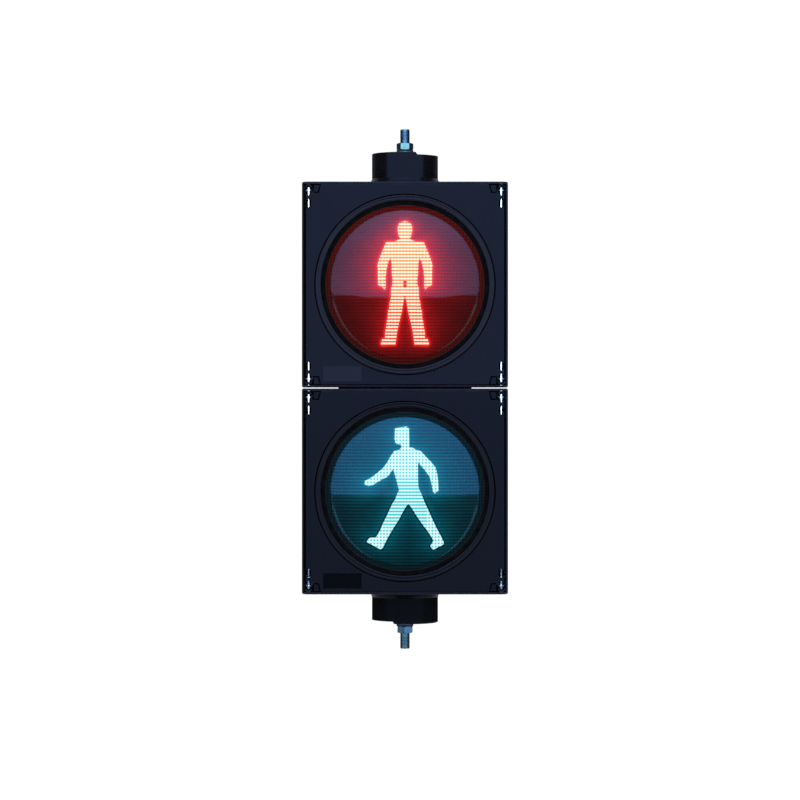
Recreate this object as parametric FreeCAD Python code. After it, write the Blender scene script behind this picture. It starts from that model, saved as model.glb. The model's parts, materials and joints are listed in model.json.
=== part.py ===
import FreeCAD, Part
import os, math
from FreeCAD import Vector as V

os.makedirs("parts", exist_ok=True)

# Two-aspect pedestrian signal head on a central M12 tie rod, in mm.
# +Z is up, the front faces -Y and +X is the viewer's right.
# The origin is on the rod axis at the outer face of the lower nut.
# Mounting pieces are built from the lower collar's end face (z = 0) and section pieces
# in a section frame with z = 0 at the lens centre; save() lifts both into place.

# ---- driving dimensions ----
SEC_W = 250.0            # section width
SEC_H = 249.4            # section height
SEC_GAP = 1.2            # gap between the two sections
Y_FACE = -75.0           # raised front face of the door
Y_BACK = 65.0            # back of the housing
WALL = 3.0               # side and back wall
RIM = 2.6                # top and bottom wall
DOOR_E = 2.9             # door edge to section edge
ROLL_R = 8.2             # rounded vertical edge of the door
RAISE = 1.5              # raised face above the rounded edge
COLLAR_R = 40.7          # mounting collar
COLLAR_H = 36.7
GASKET_T = 2.0           # collar gasket
ROD_R = 6.0              # M12 tie rod
ROD_CORE_R = 5.7         # rod between the two free ends
NUT_AF, NUT_H = 18.0, 8.5
WASHER_T = 2.5
APERTURE_R = 102.0       # opening in the door
LENS_VIS_R = 96.0        # visible lens radius
PIN_R = 2.5              # hinge and latch pin shank
PIN_END = 47.2           # inner end of a pin, from the section edge
RING_E = 34.5            # retaining ring on a pin, from the section edge
PIN_BORE_R = PIN_R + 0.05

# ---- derived ----
HALF_W = SEC_W / 2
HALF_H = SEC_H / 2
PIN_X = HALF_W - ROLL_R
PIN_Y = Y_FACE + RAISE + ROLL_R
DOOR_HALF_H = HALF_H - DOOR_E
Y_DOOR_BACK = PIN_Y + ROLL_R
Y_IN = Y_BACK - WALL                  # inner face of the back wall
Z_LOW_MID = COLLAR_H + GASKET_T + HALF_H
Z_JOINT = Z_LOW_MID + HALF_H          # top of the lower section
Z_UP0 = Z_JOINT + SEC_GAP             # bottom of the upper section
Z_UP_MID = Z_UP0 + HALF_H
Z_COLLAR_TOP = Z_UP0 + SEC_H + GASKET_T + COLLAR_H
STACK = 2 * WASHER_T + NUT_H          # two washers and a nut outside each collar

ORIGIN, AXIS_Y, AXIS_Z = V(0, 0, 0), V(0, 1, 0), V(0, 0, 1)
CORNERS = [(side, end) for side in (1, -1) for end in (1, -1)]   # signs of x and z


# ------------------------------------------------------------------
# Shape helpers
# ------------------------------------------------------------------
def box(x0, x1, y0, y1, z0, z1):
    return Part.makeBox(x1 - x0, y1 - y0, z1 - z0, V(x0, y0, z0))


def cyl_z(radius, z0, z1, x=0.0, y=0.0):
    return Part.makeCylinder(radius, z1 - z0, V(x, y, z0), AXIS_Z)


def cyl_y(radius, y0, y1, x=0.0, z=0.0):
    return Part.makeCylinder(radius, y1 - y0, V(x, y0, z), AXIS_Y)


def ring_z(inner, outer, z0, z1, x=0.0, y=0.0):
    return cyl_z(outer, z0, z1, x, y).cut(cyl_z(inner, z0 - 1, z1 + 1, x, y))


def fuse(shapes):
    return shapes[0].multiFuse(shapes[1:]).removeSplitter()


def outline(points):
    return Part.Face(Part.makePolygon(points + points[:1]))


def turn_y(points):
    """Turn (radius, y) points round the Y axis."""
    return outline([V(r, y, 0) for r, y in points]).revolve(ORIGIN, AXIS_Y, 360)


def turn_z(points):
    """Turn (radius, z) points round the Z axis."""
    return outline([V(r, 0, z) for r, z in points]).revolve(ORIGIN, AXIS_Z, 360)


def extrude_y(points, y0, y1):
    """Extrude an (x, z) outline along Y."""
    return outline([V(x, y0, z) for x, z in points]).extrude(V(0, y1 - y0, 0))


def polar(radius, degrees):
    angle = math.radians(degrees)
    return radius * math.cos(angle), radius * math.sin(angle)


def hex_prism(across_flats, z0, z1, x=0.0, y=0.0, turn=0):
    corners = [polar(across_flats / math.sqrt(3), 60 * k + turn) for k in range(6)]
    return outline([V(x + dx, y + dy, z0) for dx, dy in corners]).extrude(V(0, 0, z1 - z0))


def rounded_slab(half_x, half_z, radius, y0, y1):
    slab = box(-half_x, half_x, y0, y1, -half_z, half_z)
    return slab.makeFillet(radius, [e for e in slab.Edges if e.BoundBox.YLength > 1])


def moved(shape, x=0.0, y=0.0, z=0.0):
    copy = shape.copy()
    copy.translate(V(x, y, z))
    return copy


def turned(shape, axis, degrees):
    copy = shape.copy()
    copy.rotate(ORIGIN, axis, degrees)
    return copy


def to_corner(shape, side, end):
    """Swing a shape built along +X round to one corner of the section."""
    return turned(shape, AXIS_Y, -45 * end if side > 0 else 180 + 45 * end)


def span(side, a, b):
    """Range from a to b on the + or - side, lowest first."""
    return sorted((side * a, side * b))


def from_edge(end, a, b):
    """Z range between two depths from the section's top (+1) or bottom (-1) edge."""
    return span(end, HALF_H - a, HALF_H - b)


def screw(head_r, head_y0, head_y1, shank_r, shank_y0, shank_y1, x, z):
    return fuse([cyl_y(head_r, head_y0, head_y1, x, z), cyl_y(shank_r, shank_y0, shank_y1, x, z)])


def slot(half_x, half_z, y0, y1, x, z):
    return box(x - half_x, x + half_x, y0, y1, z - half_z, z + half_z)


def save(name, shapes, z=0.0):
    if not isinstance(shapes, list):
        shapes = [shapes]
    solids = [moved(solid, z=z + STACK) for shape in shapes for solid in shape.Solids]
    result = solids[0] if len(solids) == 1 else Part.makeCompound(solids)
    result.exportStep("parts/%s.step" % name)


# ------------------------------------------------------------------
# Mounting: tie rod, collars and stud hardware
# ------------------------------------------------------------------
ROD_BELOW = 32.8         # rod below the lower collar face
ROD_ABOVE = 30.3         # rod above the upper collar face
ROD_CHAMFER = 1.2
BORE_R = ROD_R + 0.4     # collar and flat washer bore
COLLAR_STEP = 3.0        # height of the step in the collar's end face
COLLAR_LIP = 1.7         # flare at the section side
COLLAR_WALL = 3.0
COLLAR_FLOOR = 7.0
COLLAR_HUB_R = 13.0
NUT_CHAMFER = 1.1
LOWER_NUT_TURN = 26      # degrees


def tie_rod():
    z0, z1 = -ROD_BELOW, Z_COLLAR_TOP + ROD_ABOVE
    nut0, nut1 = -STACK, Z_COLLAR_TOP + STACK       # outer faces of the nuts
    end_r = ROD_R - ROD_CHAMFER
    return turn_z([(0, z0), (end_r, z0), (ROD_R, z0 + ROD_CHAMFER), (ROD_R, nut0),
                   (ROD_CORE_R, nut0), (ROD_CORE_R, nut1), (ROD_R, nut1),
                   (ROD_R, z1 - ROD_CHAMFER), (end_r, z1), (0, z1)])


def collar():
    """Lower collar: end face at z = 0, open towards the section at z = COLLAR_H."""
    body = turn_z([(0, 0), (COLLAR_R - 0.9, 0), (COLLAR_R - 0.25, 0.25), (COLLAR_R, 0.9),
                   (COLLAR_R, COLLAR_H - 5.5), (COLLAR_R + COLLAR_LIP, COLLAR_H - 1.8),
                   (COLLAR_R + COLLAR_LIP, COLLAR_H), (0, COLLAR_H)])
    inner_r = COLLAR_R - COLLAR_WALL
    cavity = turn_z([(COLLAR_HUB_R, COLLAR_FLOOR), (inner_r - 0.6, COLLAR_FLOOR),
                     (inner_r, COLLAR_FLOOR + 1), (inner_r, COLLAR_H + 5),
                     (COLLAR_HUB_R, COLLAR_H + 5)])
    body = body.cut(cavity)
    root = COLLAR_FLOOR - 1                         # hub and ribs start inside the floor
    hub = ring_z(BORE_R, COLLAR_HUB_R, root, COLLAR_H + GASKET_T)
    rib = box(COLLAR_HUB_R - 1, inner_r + 0.5, -1.25, 1.25, root, COLLAR_H - 4.0)
    body = fuse([body, hub] + [turned(rib, AXIS_Z, 60 * k) for k in range(6)])
    body = body.cut(cyl_z(BORE_R, -5, COLLAR_H + 10))
    # step across the -X part of the end face, with a sloping riser
    body = body.cut(extrude_y([(-60, -1), (-13.0, -1), (-13.0, 0), (-15.2, COLLAR_STEP),
                               (-60, COLLAR_STEP)], -60, 60))
    for angle in (30, 150):                         # cable ways
        body = body.cut(cyl_z(6.5, -5, 10, *polar(24, angle)))
    return body


def nut():
    """Hexagon with its corners taken off top and bottom."""
    radius = NUT_AF / math.sqrt(3) + 0.2
    flat_r = radius - 2 * NUT_CHAMFER
    limit = turn_z([(0, 0), (flat_r, 0), (radius, NUT_CHAMFER), (radius, NUT_H - NUT_CHAMFER),
                    (flat_r, NUT_H), (0, NUT_H)])
    return hex_prism(NUT_AF, 0, NUT_H).common(limit).cut(cyl_z(ROD_CORE_R, -1, NUT_H + 1))


def spring_washer():
    z0, z1 = -2 * WASHER_T, -WASHER_T
    split = box(5, 12, -0.6, 0.6, z0 - 1, z1 + 1)
    return ring_z(ROD_R + 0.2, 10.4, z0, z1).cut(split)


def at_both(shape):
    """A piece at the lower end, and its copy turned end for end at the upper one."""
    return [shape, moved(turned(shape, AXIS_Y, 180), z=Z_COLLAR_TOP)]


lower_collar, upper_collar = at_both(collar())
lower_nut, upper_nut = at_both(moved(nut(), z=-STACK))
save("tie_rod", tie_rod())
save("lower_collar", lower_collar)
save("upper_collar", upper_collar)
save("flat_washers", at_both(ring_z(BORE_R, 12.0, -WASHER_T, 0)))
save("spring_washers", at_both(spring_washer()))
save("stud_nuts", [turned(lower_nut, AXIS_Z, LOWER_NUT_TURN), upper_nut])
save("collar_gaskets", at_both(ring_z(30.0, COLLAR_R + 1.6, COLLAR_H, COLLAR_H + GASKET_T)))

# ------------------------------------------------------------------
# Housing and door seal, section frame
# ------------------------------------------------------------------
OUTER_FILLET = 1.9       # top and bottom outer edges
BACK_CORNER_R = 20.0
Y_WALL_FRONT = -56.0     # front edge of the side walls
Y_SEAL0, Y_SEAL1 = -54.0, -50.0
SEAL_MID = 106.5         # door seal centre line, half side
SEAL_HALF_W = 3.0
HUB_DEPTH = RIM + 3.0    # rod hub's inner end, from the section edge
CABLE_X, CABLE_Y, CABLE_HOLE_R = 20.8, 12.0, 7.0
COUPLE_XY = [(60, 30), (-60, 30), (60, -30), (-60, -30)]
COUPLE_HOLE_R = 3.3
BLOCK_X, BLOCK_Z = -62.0, -48.0      # terminal block centre
BLOCK_SCREW_DX = 24
LOOM_X, LOOM_Z = BLOCK_X + 40, 20.0  # loom clip post
Y_POST = Y_IN - 6                    # front end of the posts on the back wall
POSTS = [(4.5, BLOCK_X - BLOCK_SCREW_DX, BLOCK_Z), (4.5, BLOCK_X + BLOCK_SCREW_DX, BLOCK_Z),
         (4.0, LOOM_X, LOOM_Z)]      # radius, x, z
POST_HOLE_R = 1.55


def plan_prism(half_w, y0, y1, front_r, back_r, z0, z1):
    """Upright prism on a rectangle with rounded front and back corners."""
    corners = [(half_w - front_r, y0 + front_r, front_r, -90),
               (half_w - back_r, y1 - back_r, back_r, 0),
               (back_r - half_w, y1 - back_r, back_r, 90),
               (front_r - half_w, y0 + front_r, front_r, 180)]   # centre, radius, start angle
    edges = []
    last = V(front_r - half_w, y0, z0)
    for x, y, radius, start in corners:
        arc = []
        for angle in (start, start + 45, start + 90):
            dx, dy = polar(radius, angle)
            arc.append(V(x + dx, y + dy, z0))
        edges += [Part.makeLine(last, arc[0]), Part.Arc(*arc).toShape()]
        last = arc[2]
    return Part.Face(Part.Wire(edges)).extrude(V(0, 0, z1 - z0))


def housing(joint_end):
    """Open-fronted box; joint_end is the end (+1 top, -1 bottom) bolted to the other section."""
    outer = plan_prism(HALF_W, Y_FACE + RAISE, Y_BACK, ROLL_R, BACK_CORNER_R, -HALF_H, HALF_H)
    rims = [e for e in outer.Edges if abs(abs(e.BoundBox.ZMax) - HALF_H) < 1e-6
            and e.BoundBox.ZLength < 1e-6]
    outer = outer.makeFillet(OUTER_FILLET, rims)
    inner_z = HALF_H - RIM
    body = outer.cut(plan_prism(HALF_W - WALL, -90, Y_IN, 5.0, BACK_CORNER_R - WALL,
                                -inner_z, inner_z))
    # the side walls stop behind the door
    body = body.cut(box(-130, 130, -90, Y_WALL_FRONT, -inner_z, inner_z))

    ledge = box(-HALF_W + 1.5, HALF_W - 1.5, Y_SEAL1, Y_SEAL1 + 3, -HALF_H + 1.5, HALF_H - 1.5)
    adds = [ledge.cut(rounded_slab(102.5, 102.5, 10, -60, -40))]
    for end in (1, -1):                       # hubs round the rod
        adds.append(cyl_z(14.0, *from_edge(end, HUB_DEPTH, 1)))
    for radius, x, z in POSTS:
        adds.append(cyl_y(radius, Y_POST, Y_IN + 1, x, z))
    for x in (-100, 60, 100):                 # ribs inside the back wall
        adds.append(box(x - 1.2, x + 1.2, Y_IN - 8, Y_IN + 1, -HALF_H + 2, HALF_H - 2))
    for side in (1, -1):                      # ribs inside the side walls
        for z in (-60, 0, 60):
            adds.append(box(*span(side, HALF_W - WALL - 6, HALF_W - 1), -48, Y_BACK - 20,
                            z - 1.2, z + 1.2))
    for x in (-72, 72):                       # shallow ribs outside the back
        adds.append(box(x - 2, x + 2, Y_BACK - 1, Y_BACK + 2.0, -HALF_H + 14, HALF_H - 14))
    adds.append(cyl_y(36, Y_BACK - 1, Y_BACK + 1.5))
    body = fuse([body] + adds)
    # shallow recess in the round back boss
    body = body.cut(cyl_y(31, Y_BACK + 0.7, Y_BACK + 3))

    body = body.cut(cyl_z(ROD_R + 0.08, -HALF_H - 5, HALF_H + 5))
    for side, end in CORNERS:                 # pin holes and cable ways
        body = body.cut(cyl_z(PIN_BORE_R, *from_edge(end, 0.5, RIM + 1), side * PIN_X, PIN_Y))
        body = body.cut(cyl_z(CABLE_HOLE_R, *from_edge(end, -1, RIM + 5),
                              side * CABLE_X, CABLE_Y))
    for x, y in COUPLE_XY:
        body = body.cut(cyl_z(COUPLE_HOLE_R, *from_edge(joint_end, -1, RIM + 5), x, y))
    for radius, x, z in POSTS:
        body = body.cut(cyl_y(POST_HOLE_R, Y_IN - 7, Y_IN + 0.5, x, z))
    return body


def door_seal():
    outer, inner = SEAL_MID + SEAL_HALF_W, SEAL_MID - SEAL_HALF_W
    hole = rounded_slab(inner, inner, 6, Y_SEAL0 - 1, Y_SEAL1 + 1)
    return rounded_slab(outer, outer, 11, Y_SEAL0, Y_SEAL1).cut(hole)


# ------------------------------------------------------------------
# Coupling between the two sections, and spacer tubes round the rod
# ------------------------------------------------------------------
TUBE_R = 9.0
TUBE_BORE_R = ROD_R + 0.6
COUPLE_R = 3.0           # coupling bolt shank
COUPLE_AF = 10
COUPLE_FLANGE_R = 7.0


def coupling_gasket():
    pad = box(-81.5, 81.5, -45, 45, Z_JOINT, Z_UP0)
    pad = pad.makeFillet(8.0, [e for e in pad.Edges if e.BoundBox.ZLength > 1])
    holes = [(TUBE_BORE_R, 0, 0)]
    holes += [(CABLE_HOLE_R, side * CABLE_X, CABLE_Y) for side in (1, -1)]
    holes += [(COUPLE_HOLE_R, x, y) for x, y in COUPLE_XY]
    for radius, x, y in holes:
        pad = pad.cut(cyl_z(radius, Z_UP0 - 5, Z_UP0 + 5, x, y))
    return pad


def coupling_bolt(x, y):
    floor = Z_UP0 + RIM
    flange = floor + 1.6
    return fuse([hex_prism(COUPLE_AF, flange, flange + 4.2, x, y, turn=30),
                 cyl_z(COUPLE_FLANGE_R, floor, flange, x, y),
                 cyl_z(COUPLE_R, Z_JOINT - RIM - 12, floor + 1, x, y)])


def coupling_nut(x, y):
    z0 = Z_JOINT - RIM - 6.2
    body = fuse([hex_prism(COUPLE_AF, z0, z0 + 5.0, x, y, turn=30),
                 cyl_z(COUPLE_FLANGE_R, z0 + 5.0, z0 + 6.2, x, y)])
    return body.cut(cyl_z(COUPLE_R, z0 - 1, z0 + 8, x, y))


tube_half = HALF_H - HUB_DEPTH
save("coupling_gasket", coupling_gasket())
save("coupling_bolts", [coupling_bolt(x, y) for x, y in COUPLE_XY])
save("coupling_nuts", [coupling_nut(x, y) for x, y in COUPLE_XY])
save("spacer_tubes", [ring_z(TUBE_BORE_R, TUBE_R, z - tube_half, z + tube_half)
                      for z in (Z_LOW_MID, Z_UP_MID)])

# ------------------------------------------------------------------
# Terminal blocks, screws, loom
# ------------------------------------------------------------------
TERMINAL_PITCH = 9.4
TERMINAL_DX = [(i - 1.5) * TERMINAL_PITCH for i in range(4)]
Y_BLOCK = Y_POST - 20    # front of the raised middle
Y_FOOT = Y_BLOCK + 6     # front of the foot
Y_WIRE = Y_BLOCK + 10    # wire holes
WIRE_R = 1.2
DOOR_CABLE_R = 2.6


def terminal_block():
    foot = box(BLOCK_X - 30, BLOCK_X + 30, Y_FOOT, Y_POST, BLOCK_Z - 11, BLOCK_Z + 11)
    middle = box(BLOCK_X - 19, BLOCK_X + 19, Y_BLOCK, Y_POST, BLOCK_Z - 6, BLOCK_Z + 6)
    block = fuse([foot, middle])
    for dx in TERMINAL_DX:                    # screw well, upper and lower wire holes
        x = BLOCK_X + dx
        block = block.cut(cyl_y(3.0, Y_BLOCK - 1, Y_BLOCK + 4, x, BLOCK_Z))
        block = block.cut(cyl_z(1.9, BLOCK_Z + 4, BLOCK_Z + 12, x, Y_WIRE))
        block = block.cut(cyl_z(1.9, BLOCK_Z - 12, BLOCK_Z - 4, x, Y_WIRE))
    for i in (-1, 0, 1):                      # grooves between terminals
        block = block.cut(slot(0.5, 12, Y_BLOCK - 1, Y_BLOCK + 5,
                               BLOCK_X + i * TERMINAL_PITCH, BLOCK_Z))
    for dx in (-BLOCK_SCREW_DX, BLOCK_SCREW_DX):
        block = block.cut(cyl_y(1.8, Y_BLOCK - 1, Y_POST + 1, BLOCK_X + dx, BLOCK_Z))
    return block


def terminal_screws():
    screws = []
    for dx in TERMINAL_DX:
        x = BLOCK_X + dx
        head = cyl_y(2.8, Y_BLOCK + 2.2, Y_BLOCK + 4.0, x, BLOCK_Z)
        screws.append(head.cut(slot(3, 0.4, Y_BLOCK + 1, Y_BLOCK + 3.0, x, BLOCK_Z)))
    for dx in (-BLOCK_SCREW_DX, BLOCK_SCREW_DX):
        x = BLOCK_X + dx
        mount = screw(3.0, Y_FOOT - 2.2, Y_FOOT, 1.5, Y_FOOT - 0.5, Y_IN - 1, x, BLOCK_Z)
        screws.append(mount.cut(slot(4, 0.4, Y_FOOT - 3, Y_FOOT - 1.2, x, BLOCK_Z)))
    return screws


def tube_along(points, radius, bend=10.0):
    """Round wire: straight runs joined by round bends, tightened where runs are short."""
    points = [V(*p) for p in points]
    edges, last = [], points[0]
    for before, corner, after in zip(points, points[1:], points[2:]):
        run_in, run_out = corner - before, after - corner
        setback_max = 0.46 * min(run_in.Length, run_out.Length)
        run_in.normalize()
        run_out.normalize()
        half_angle = run_in.getAngle(run_out) / 2
        setback = min(bend * math.tan(half_angle), setback_max)
        bend_r = setback / math.tan(half_angle)
        inward = (run_out - run_in).normalize()
        centre = corner + inward * (bend_r / math.cos(half_angle))
        start, end = corner - run_in * setback, corner + run_out * setback
        edges.append(Part.makeLine(last, start))
        edges.append(Part.Arc(start, centre - inward * bend_r, end).toShape())
        last = end
    edges.append(Part.makeLine(last, points[-1]))
    profile = Part.Wire([Part.makeCircle(radius, points[0], points[1] - points[0])])
    return Part.Wire(edges).makePipeShell([profile], True, True)


def loom_wire(i):
    """Wire i from the top of the lower block, through the joint, to the upper block's bottom."""
    x = BLOCK_X + TERMINAL_DX[i]
    z0 = Z_LOW_MID + BLOCK_Z + 8.0
    z1 = Z_UP_MID + BLOCK_Z - 8.0
    # place of this wire in the bundle
    dx = (-2.4, -0.8, 0.8, 2.4)[i]
    dy = (0.9, -0.9, 0.9, -0.9)[i]
    clip_x, clip_y = LOOM_X + dx * 2.0, Y_WIRE + 1.6 + dy * 1.4
    hole_x, hole_y = -CABLE_X + dx * 1.8, CABLE_Y + dy * 1.6
    return tube_along([(x, Y_WIRE, z0), (x, Y_WIRE, z0 + 10),
                       (clip_x, clip_y, Z_LOW_MID + 10), (clip_x, clip_y, Z_LOW_MID + 30),
                       (hole_x, hole_y, Z_UP0 - 20), (hole_x, hole_y, Z_UP0 + 16),
                       (x, Y_WIRE - 1 - 1.2 * i, z1 - 18), (x, Y_WIRE, z1 - 8),
                       (x, Y_WIRE, z1)], WIRE_R)


def loom_clip():
    """Clip that holds the loom on its post, and its screw."""
    y_pad = Y_WIRE + 8.0
    pad = slot(9.5, 5, y_pad, Y_POST, LOOM_X, LOOM_Z)
    arch = ring_z(8.9, 10.7, LOOM_Z - 4, LOOM_Z + 4, LOOM_X, Y_WIRE + 2)
    arch = arch.common(slot(12, 5, Y_WIRE - 12, Y_WIRE + 9.5, LOOM_X, LOOM_Z))
    clip = fuse([pad, arch]).cut(cyl_y(1.8, Y_WIRE, Y_IN, LOOM_X, LOOM_Z))
    return [clip, screw(3.2, y_pad - 1.8, y_pad, 1.5, y_pad - 1, Y_IN - 1, LOOM_X, LOOM_Z)]


blocks, block_screws = [], []
for z in (Z_LOW_MID, Z_UP_MID):
    blocks.append(moved(terminal_block(), z=z))
    block_screws += [moved(s, z=z) for s in terminal_screws()]
save("terminal_blocks", blocks)
save("terminal_screws", block_screws)
save("wiring_loom", [loom_wire(i) for i in range(4)])
save("loom_clip", loom_clip(), Z_LOW_MID)

# ------------------------------------------------------------------
# Door, bezel and label plate, section frame
# ------------------------------------------------------------------
PLATE_HALF_W = 120.1     # raised face
PLATE_FILLET = 1.5       # rounded rim of the raised face
Y_ROOT = Y_FACE + 2      # pieces behind the plate start inside it
Y_BOSS = Y_FACE + 10     # back of the lens hub and clip bosses
ROLL_BORE_R = 3.9
BEZEL_R = 108.6          # outer radius of the bezel's seat
Y_BEZEL_SEAT = Y_FACE + 1.5
CLIP_XZ = 77.8           # clip screw from the lens centre, in x and in z
DRAIN_R, DRAIN_X, DRAIN_Z = 1.0, 35.4, -105.4
LABEL_X, LABEL_Z = -75.7, -108
LABEL_SEAT_HALF = (23.6, 9.4)
LABEL_CUT_R = 112.1      # label seat stops short of the bezel
LABEL_CLR = 0.3
HOOD_DEPTH = 7.4         # hood axis, from the section edge


def door_side():
    """Right-hand rounded edge with the corner blocks that carry the pins."""
    roll = cyl_z(ROLL_R, -DOOR_HALF_H, DOOR_HALF_H, PIN_X, PIN_Y)
    z0, z1 = -DOOR_HALF_H - 1, DOOR_HALF_H + 1
    roll = roll.cut(cyl_z(ROLL_BORE_R, z0, z1, PIN_X, PIN_Y))
    roll = roll.cut(box(100, PIN_X - 1.5, Y_FACE + 3, -50, z0, z1))
    pieces = [roll]
    for end in (1, -1):
        long_span = from_edge(end, PIN_END + 1.0, DOOR_E)
        pieces.append(cyl_z(ROLL_R, *long_span, PIN_X, PIN_Y))
        pieces.append(box(PIN_X - ROLL_R, PIN_X, Y_ROOT, PIN_Y, *long_span))
        pieces.append(box(99.1, PIN_X, Y_ROOT, Y_DOOR_BACK, *from_edge(end, 16.0, DOOR_E)))
    return fuse(pieces)


def edge_groove(side):
    """Shadow groove between the raised face and the rounded edge."""
    z0 = -DOOR_HALF_H - 1
    section = [(PLATE_HALF_W, Y_FACE - 5), (122.4, Y_FACE - 5), (122.4, Y_FACE + 3.6),
               (PLATE_HALF_W, Y_FACE + 5.8)]                # x, y
    return outline([V(side * x, y, z0) for x, y in section]).extrude(V(0, 0, -2 * z0))


def corner_cuts(side, end):
    x = side * PIN_X

    def z(depth):
        return end * (HALF_H - depth)

    chamber = from_edge(end, RING_E - 0.1, RING_E + 10.5)
    pocket = [(101.1, 2.0), (121.3, 2.0), (121.3, 14.0), (103.9, 14.0)]   # x, depth from edge
    y_window = PIN_Y + 2.0
    notch = box(x - 4, x + 4, -90, 0, *from_edge(end, 13.0, 17.0))
    return [
        # guide bore
        cyl_z(PIN_BORE_R, *from_edge(end, 2.0, PIN_END + 2), x, PIN_Y),
        # spring chamber, open to the back
        cyl_z(4.7, *chamber, x, PIN_Y),
        box(x - 4.5, x + 4.5, PIN_Y, Y_DOOR_BACK + 1, *chamber),
        # room for the pin's flange
        cyl_z(6.1, *from_edge(end, 2.0, 17.0), x, PIN_Y),
        # finger pocket, with a half-round notch at its inner end
        extrude_y([(side * px, z(depth)) for px, depth in pocket], Y_FACE - 5, Y_DOOR_BACK - 2.0),
        cyl_y(3.0, Y_FACE - 5, PIN_Y, x, z(13.9)).common(notch),
        # round-ended window over the pin
        box(x - 3.25, x + 3.25, Y_FACE - 5, y_window, *from_edge(end, 24.0, 28.1)),
        cyl_y(3.25, Y_FACE - 5, y_window, x, z(24.0)),
        cyl_y(3.25, Y_FACE - 5, y_window, x, z(28.1)),
        # clip screw hole
        cyl_y(2.05, Y_FACE + 3, Y_FACE + 12, side * CLIP_XZ, end * CLIP_XZ)]


def finger_block(side, end):
    """Block standing in the finger pocket, clear of its walls."""
    points = [(103.3, 4.4), (109.8, 4.4), (109.8, 12.3), (105.4, 12.3)]   # x, depth from edge
    return extrude_y([(side * x, end * (HALF_H - depth)) for x, depth in points],
                     Y_FACE + 2.2, Y_DOOR_BACK - 1.0)


def pin_hood(side, end):
    """Half-round hood over the end of the pin, dished in front."""
    y0, y1 = Y_FACE + 0.4, Y_DOOR_BACK - 1.0
    hood = turn_y([(0, y1), (4.4, y1), (4.4, y0 + 0.7), (3.8, y0 + 0.05), (3.4, y0 + 0.1),
                   (0.5, y0 + 3.2), (0, y0 + 3.2)])
    hood = moved(hood, side * PIN_X, 0, end * (HALF_H - HOOD_DEPTH))
    z0, z1 = from_edge(end, DOOR_E + 0.1, 7.0)
    hood = hood.common(box(-130, 130, -90, -50, z0, z1))
    return hood.cut(cyl_z(PIN_BORE_R, z0 - 1, z1 + 1, side * PIN_X, PIN_Y))


def drain_hole():
    return cyl_y(DRAIN_R, Y_FACE - 5, Y_FACE + 12, DRAIN_X, DRAIN_Z)


def label_plate(y_front, clearance=LABEL_CLR):
    """Plate with one corner rounded off concentric with the bezel."""
    half_x, half_z = (half - clearance for half in LABEL_SEAT_HALF)
    plate = slot(half_x, half_z, y_front, Y_FACE + 0.9, LABEL_X, LABEL_Z)
    return plate.cut(cyl_y(LABEL_CUT_R + clearance, Y_FACE - 3, Y_FACE + 3))


def door():
    plate = box(-PLATE_HALF_W, PLATE_HALF_W, Y_FACE, Y_FACE + 3, -DOOR_HALF_H, DOOR_HALF_H)
    rim = [e for e in plate.Edges if abs(e.BoundBox.YMax - Y_FACE) < 1e-6
           and abs(e.BoundBox.YMin - Y_FACE) < 1e-6]
    right = door_side()
    adds = [plate.makeFillet(PLATE_FILLET, rim), right, right.mirror(ORIGIN, V(1, 0, 0))]
    for end in (1, -1):                       # top and bottom returns
        adds.append(box(-PIN_X, PIN_X, Y_ROOT, Y_DOOR_BACK, *from_edge(end, DOOR_E + 2.5, DOOR_E)))
    # sealing tongue
    outer, inner = SEAL_MID + 1, SEAL_MID - 1
    adds.append(rounded_slab(outer, outer, 9, Y_ROOT, Y_SEAL0)
                .cut(rounded_slab(inner, inner, 7.0, Y_FACE, -50)))
    # lens hub, clip bosses and ribs to the corners
    adds.append(cyl_y(112.6, Y_ROOT, Y_BOSS))
    for side, end in CORNERS:
        adds.append(cyl_y(5.0, Y_ROOT, Y_BOSS, side * CLIP_XZ, end * CLIP_XZ))
        adds.append(to_corner(box(110, 146, Y_ROOT, Y_BOSS, -1.1, 1.1), side, end))
    body = fuse(adds)
    # lens seat
    body = body.cut(cyl_y(APERTURE_R, Y_FACE - 5, Y_FACE + 6))
    body = body.cut(cyl_y(104.6, Y_FACE + 4, Y_FACE + 30))
    # annular seat for the bezel, with its shadow gap
    body = body.cut(cyl_y(BEZEL_R, Y_FACE - 2, Y_BEZEL_SEAT)
                    .cut(cyl_y(APERTURE_R - 1, Y_FACE - 3, Y_BEZEL_SEAT + 1)))
    gap0, gap1 = BEZEL_R - 0.2, BEZEL_R + 1.4
    body = body.cut(turn_y([(gap0, Y_FACE - 2), (gap1, Y_FACE - 2), (gap1, Y_FACE + 0.1),
                            (gap0, Y_FACE + 2.0)]))
    for side in (1, -1):
        for cutter in [edge_groove(side)] + corner_cuts(side, 1) + corner_cuts(side, -1):
            body = body.cut(cutter)
    for side, end in CORNERS:
        body = body.fuse(finger_block(side, end))
        body = body.fuse(pin_hood(side, end))
    body = body.removeSplitter()
    body = body.cut(drain_hole())
    return body.cut(label_plate(Y_FACE - 1, clearance=0))


def bezel():
    """Ring of two rounded ridges with a shallow valley between them."""
    inner, outer = APERTURE_R, BEZEL_R - 0.1
    ridges = [(0, 0.3), (0.5, -0.25), (1.1, -0.55), (1.8, -0.65), (2.5, -0.5), (3.0, -0.25),
              (3.4, -0.2), (3.8, -0.4), (4.4, -0.75), (5.1, -0.9), (5.7, -0.75)]
    # ridges: radius beyond the aperture, y from the door face
    points = [(inner, Y_BEZEL_SEAT)] + [(inner + r, Y_FACE + y) for r, y in ridges]
    points += [(outer - 0.3, Y_FACE - 0.4), (outer, Y_FACE + 0.1), (outer, Y_FACE + 1.2),
               (outer - 0.2, Y_BEZEL_SEAT)]
    return turn_y(points).cut(drain_hole())


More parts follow.
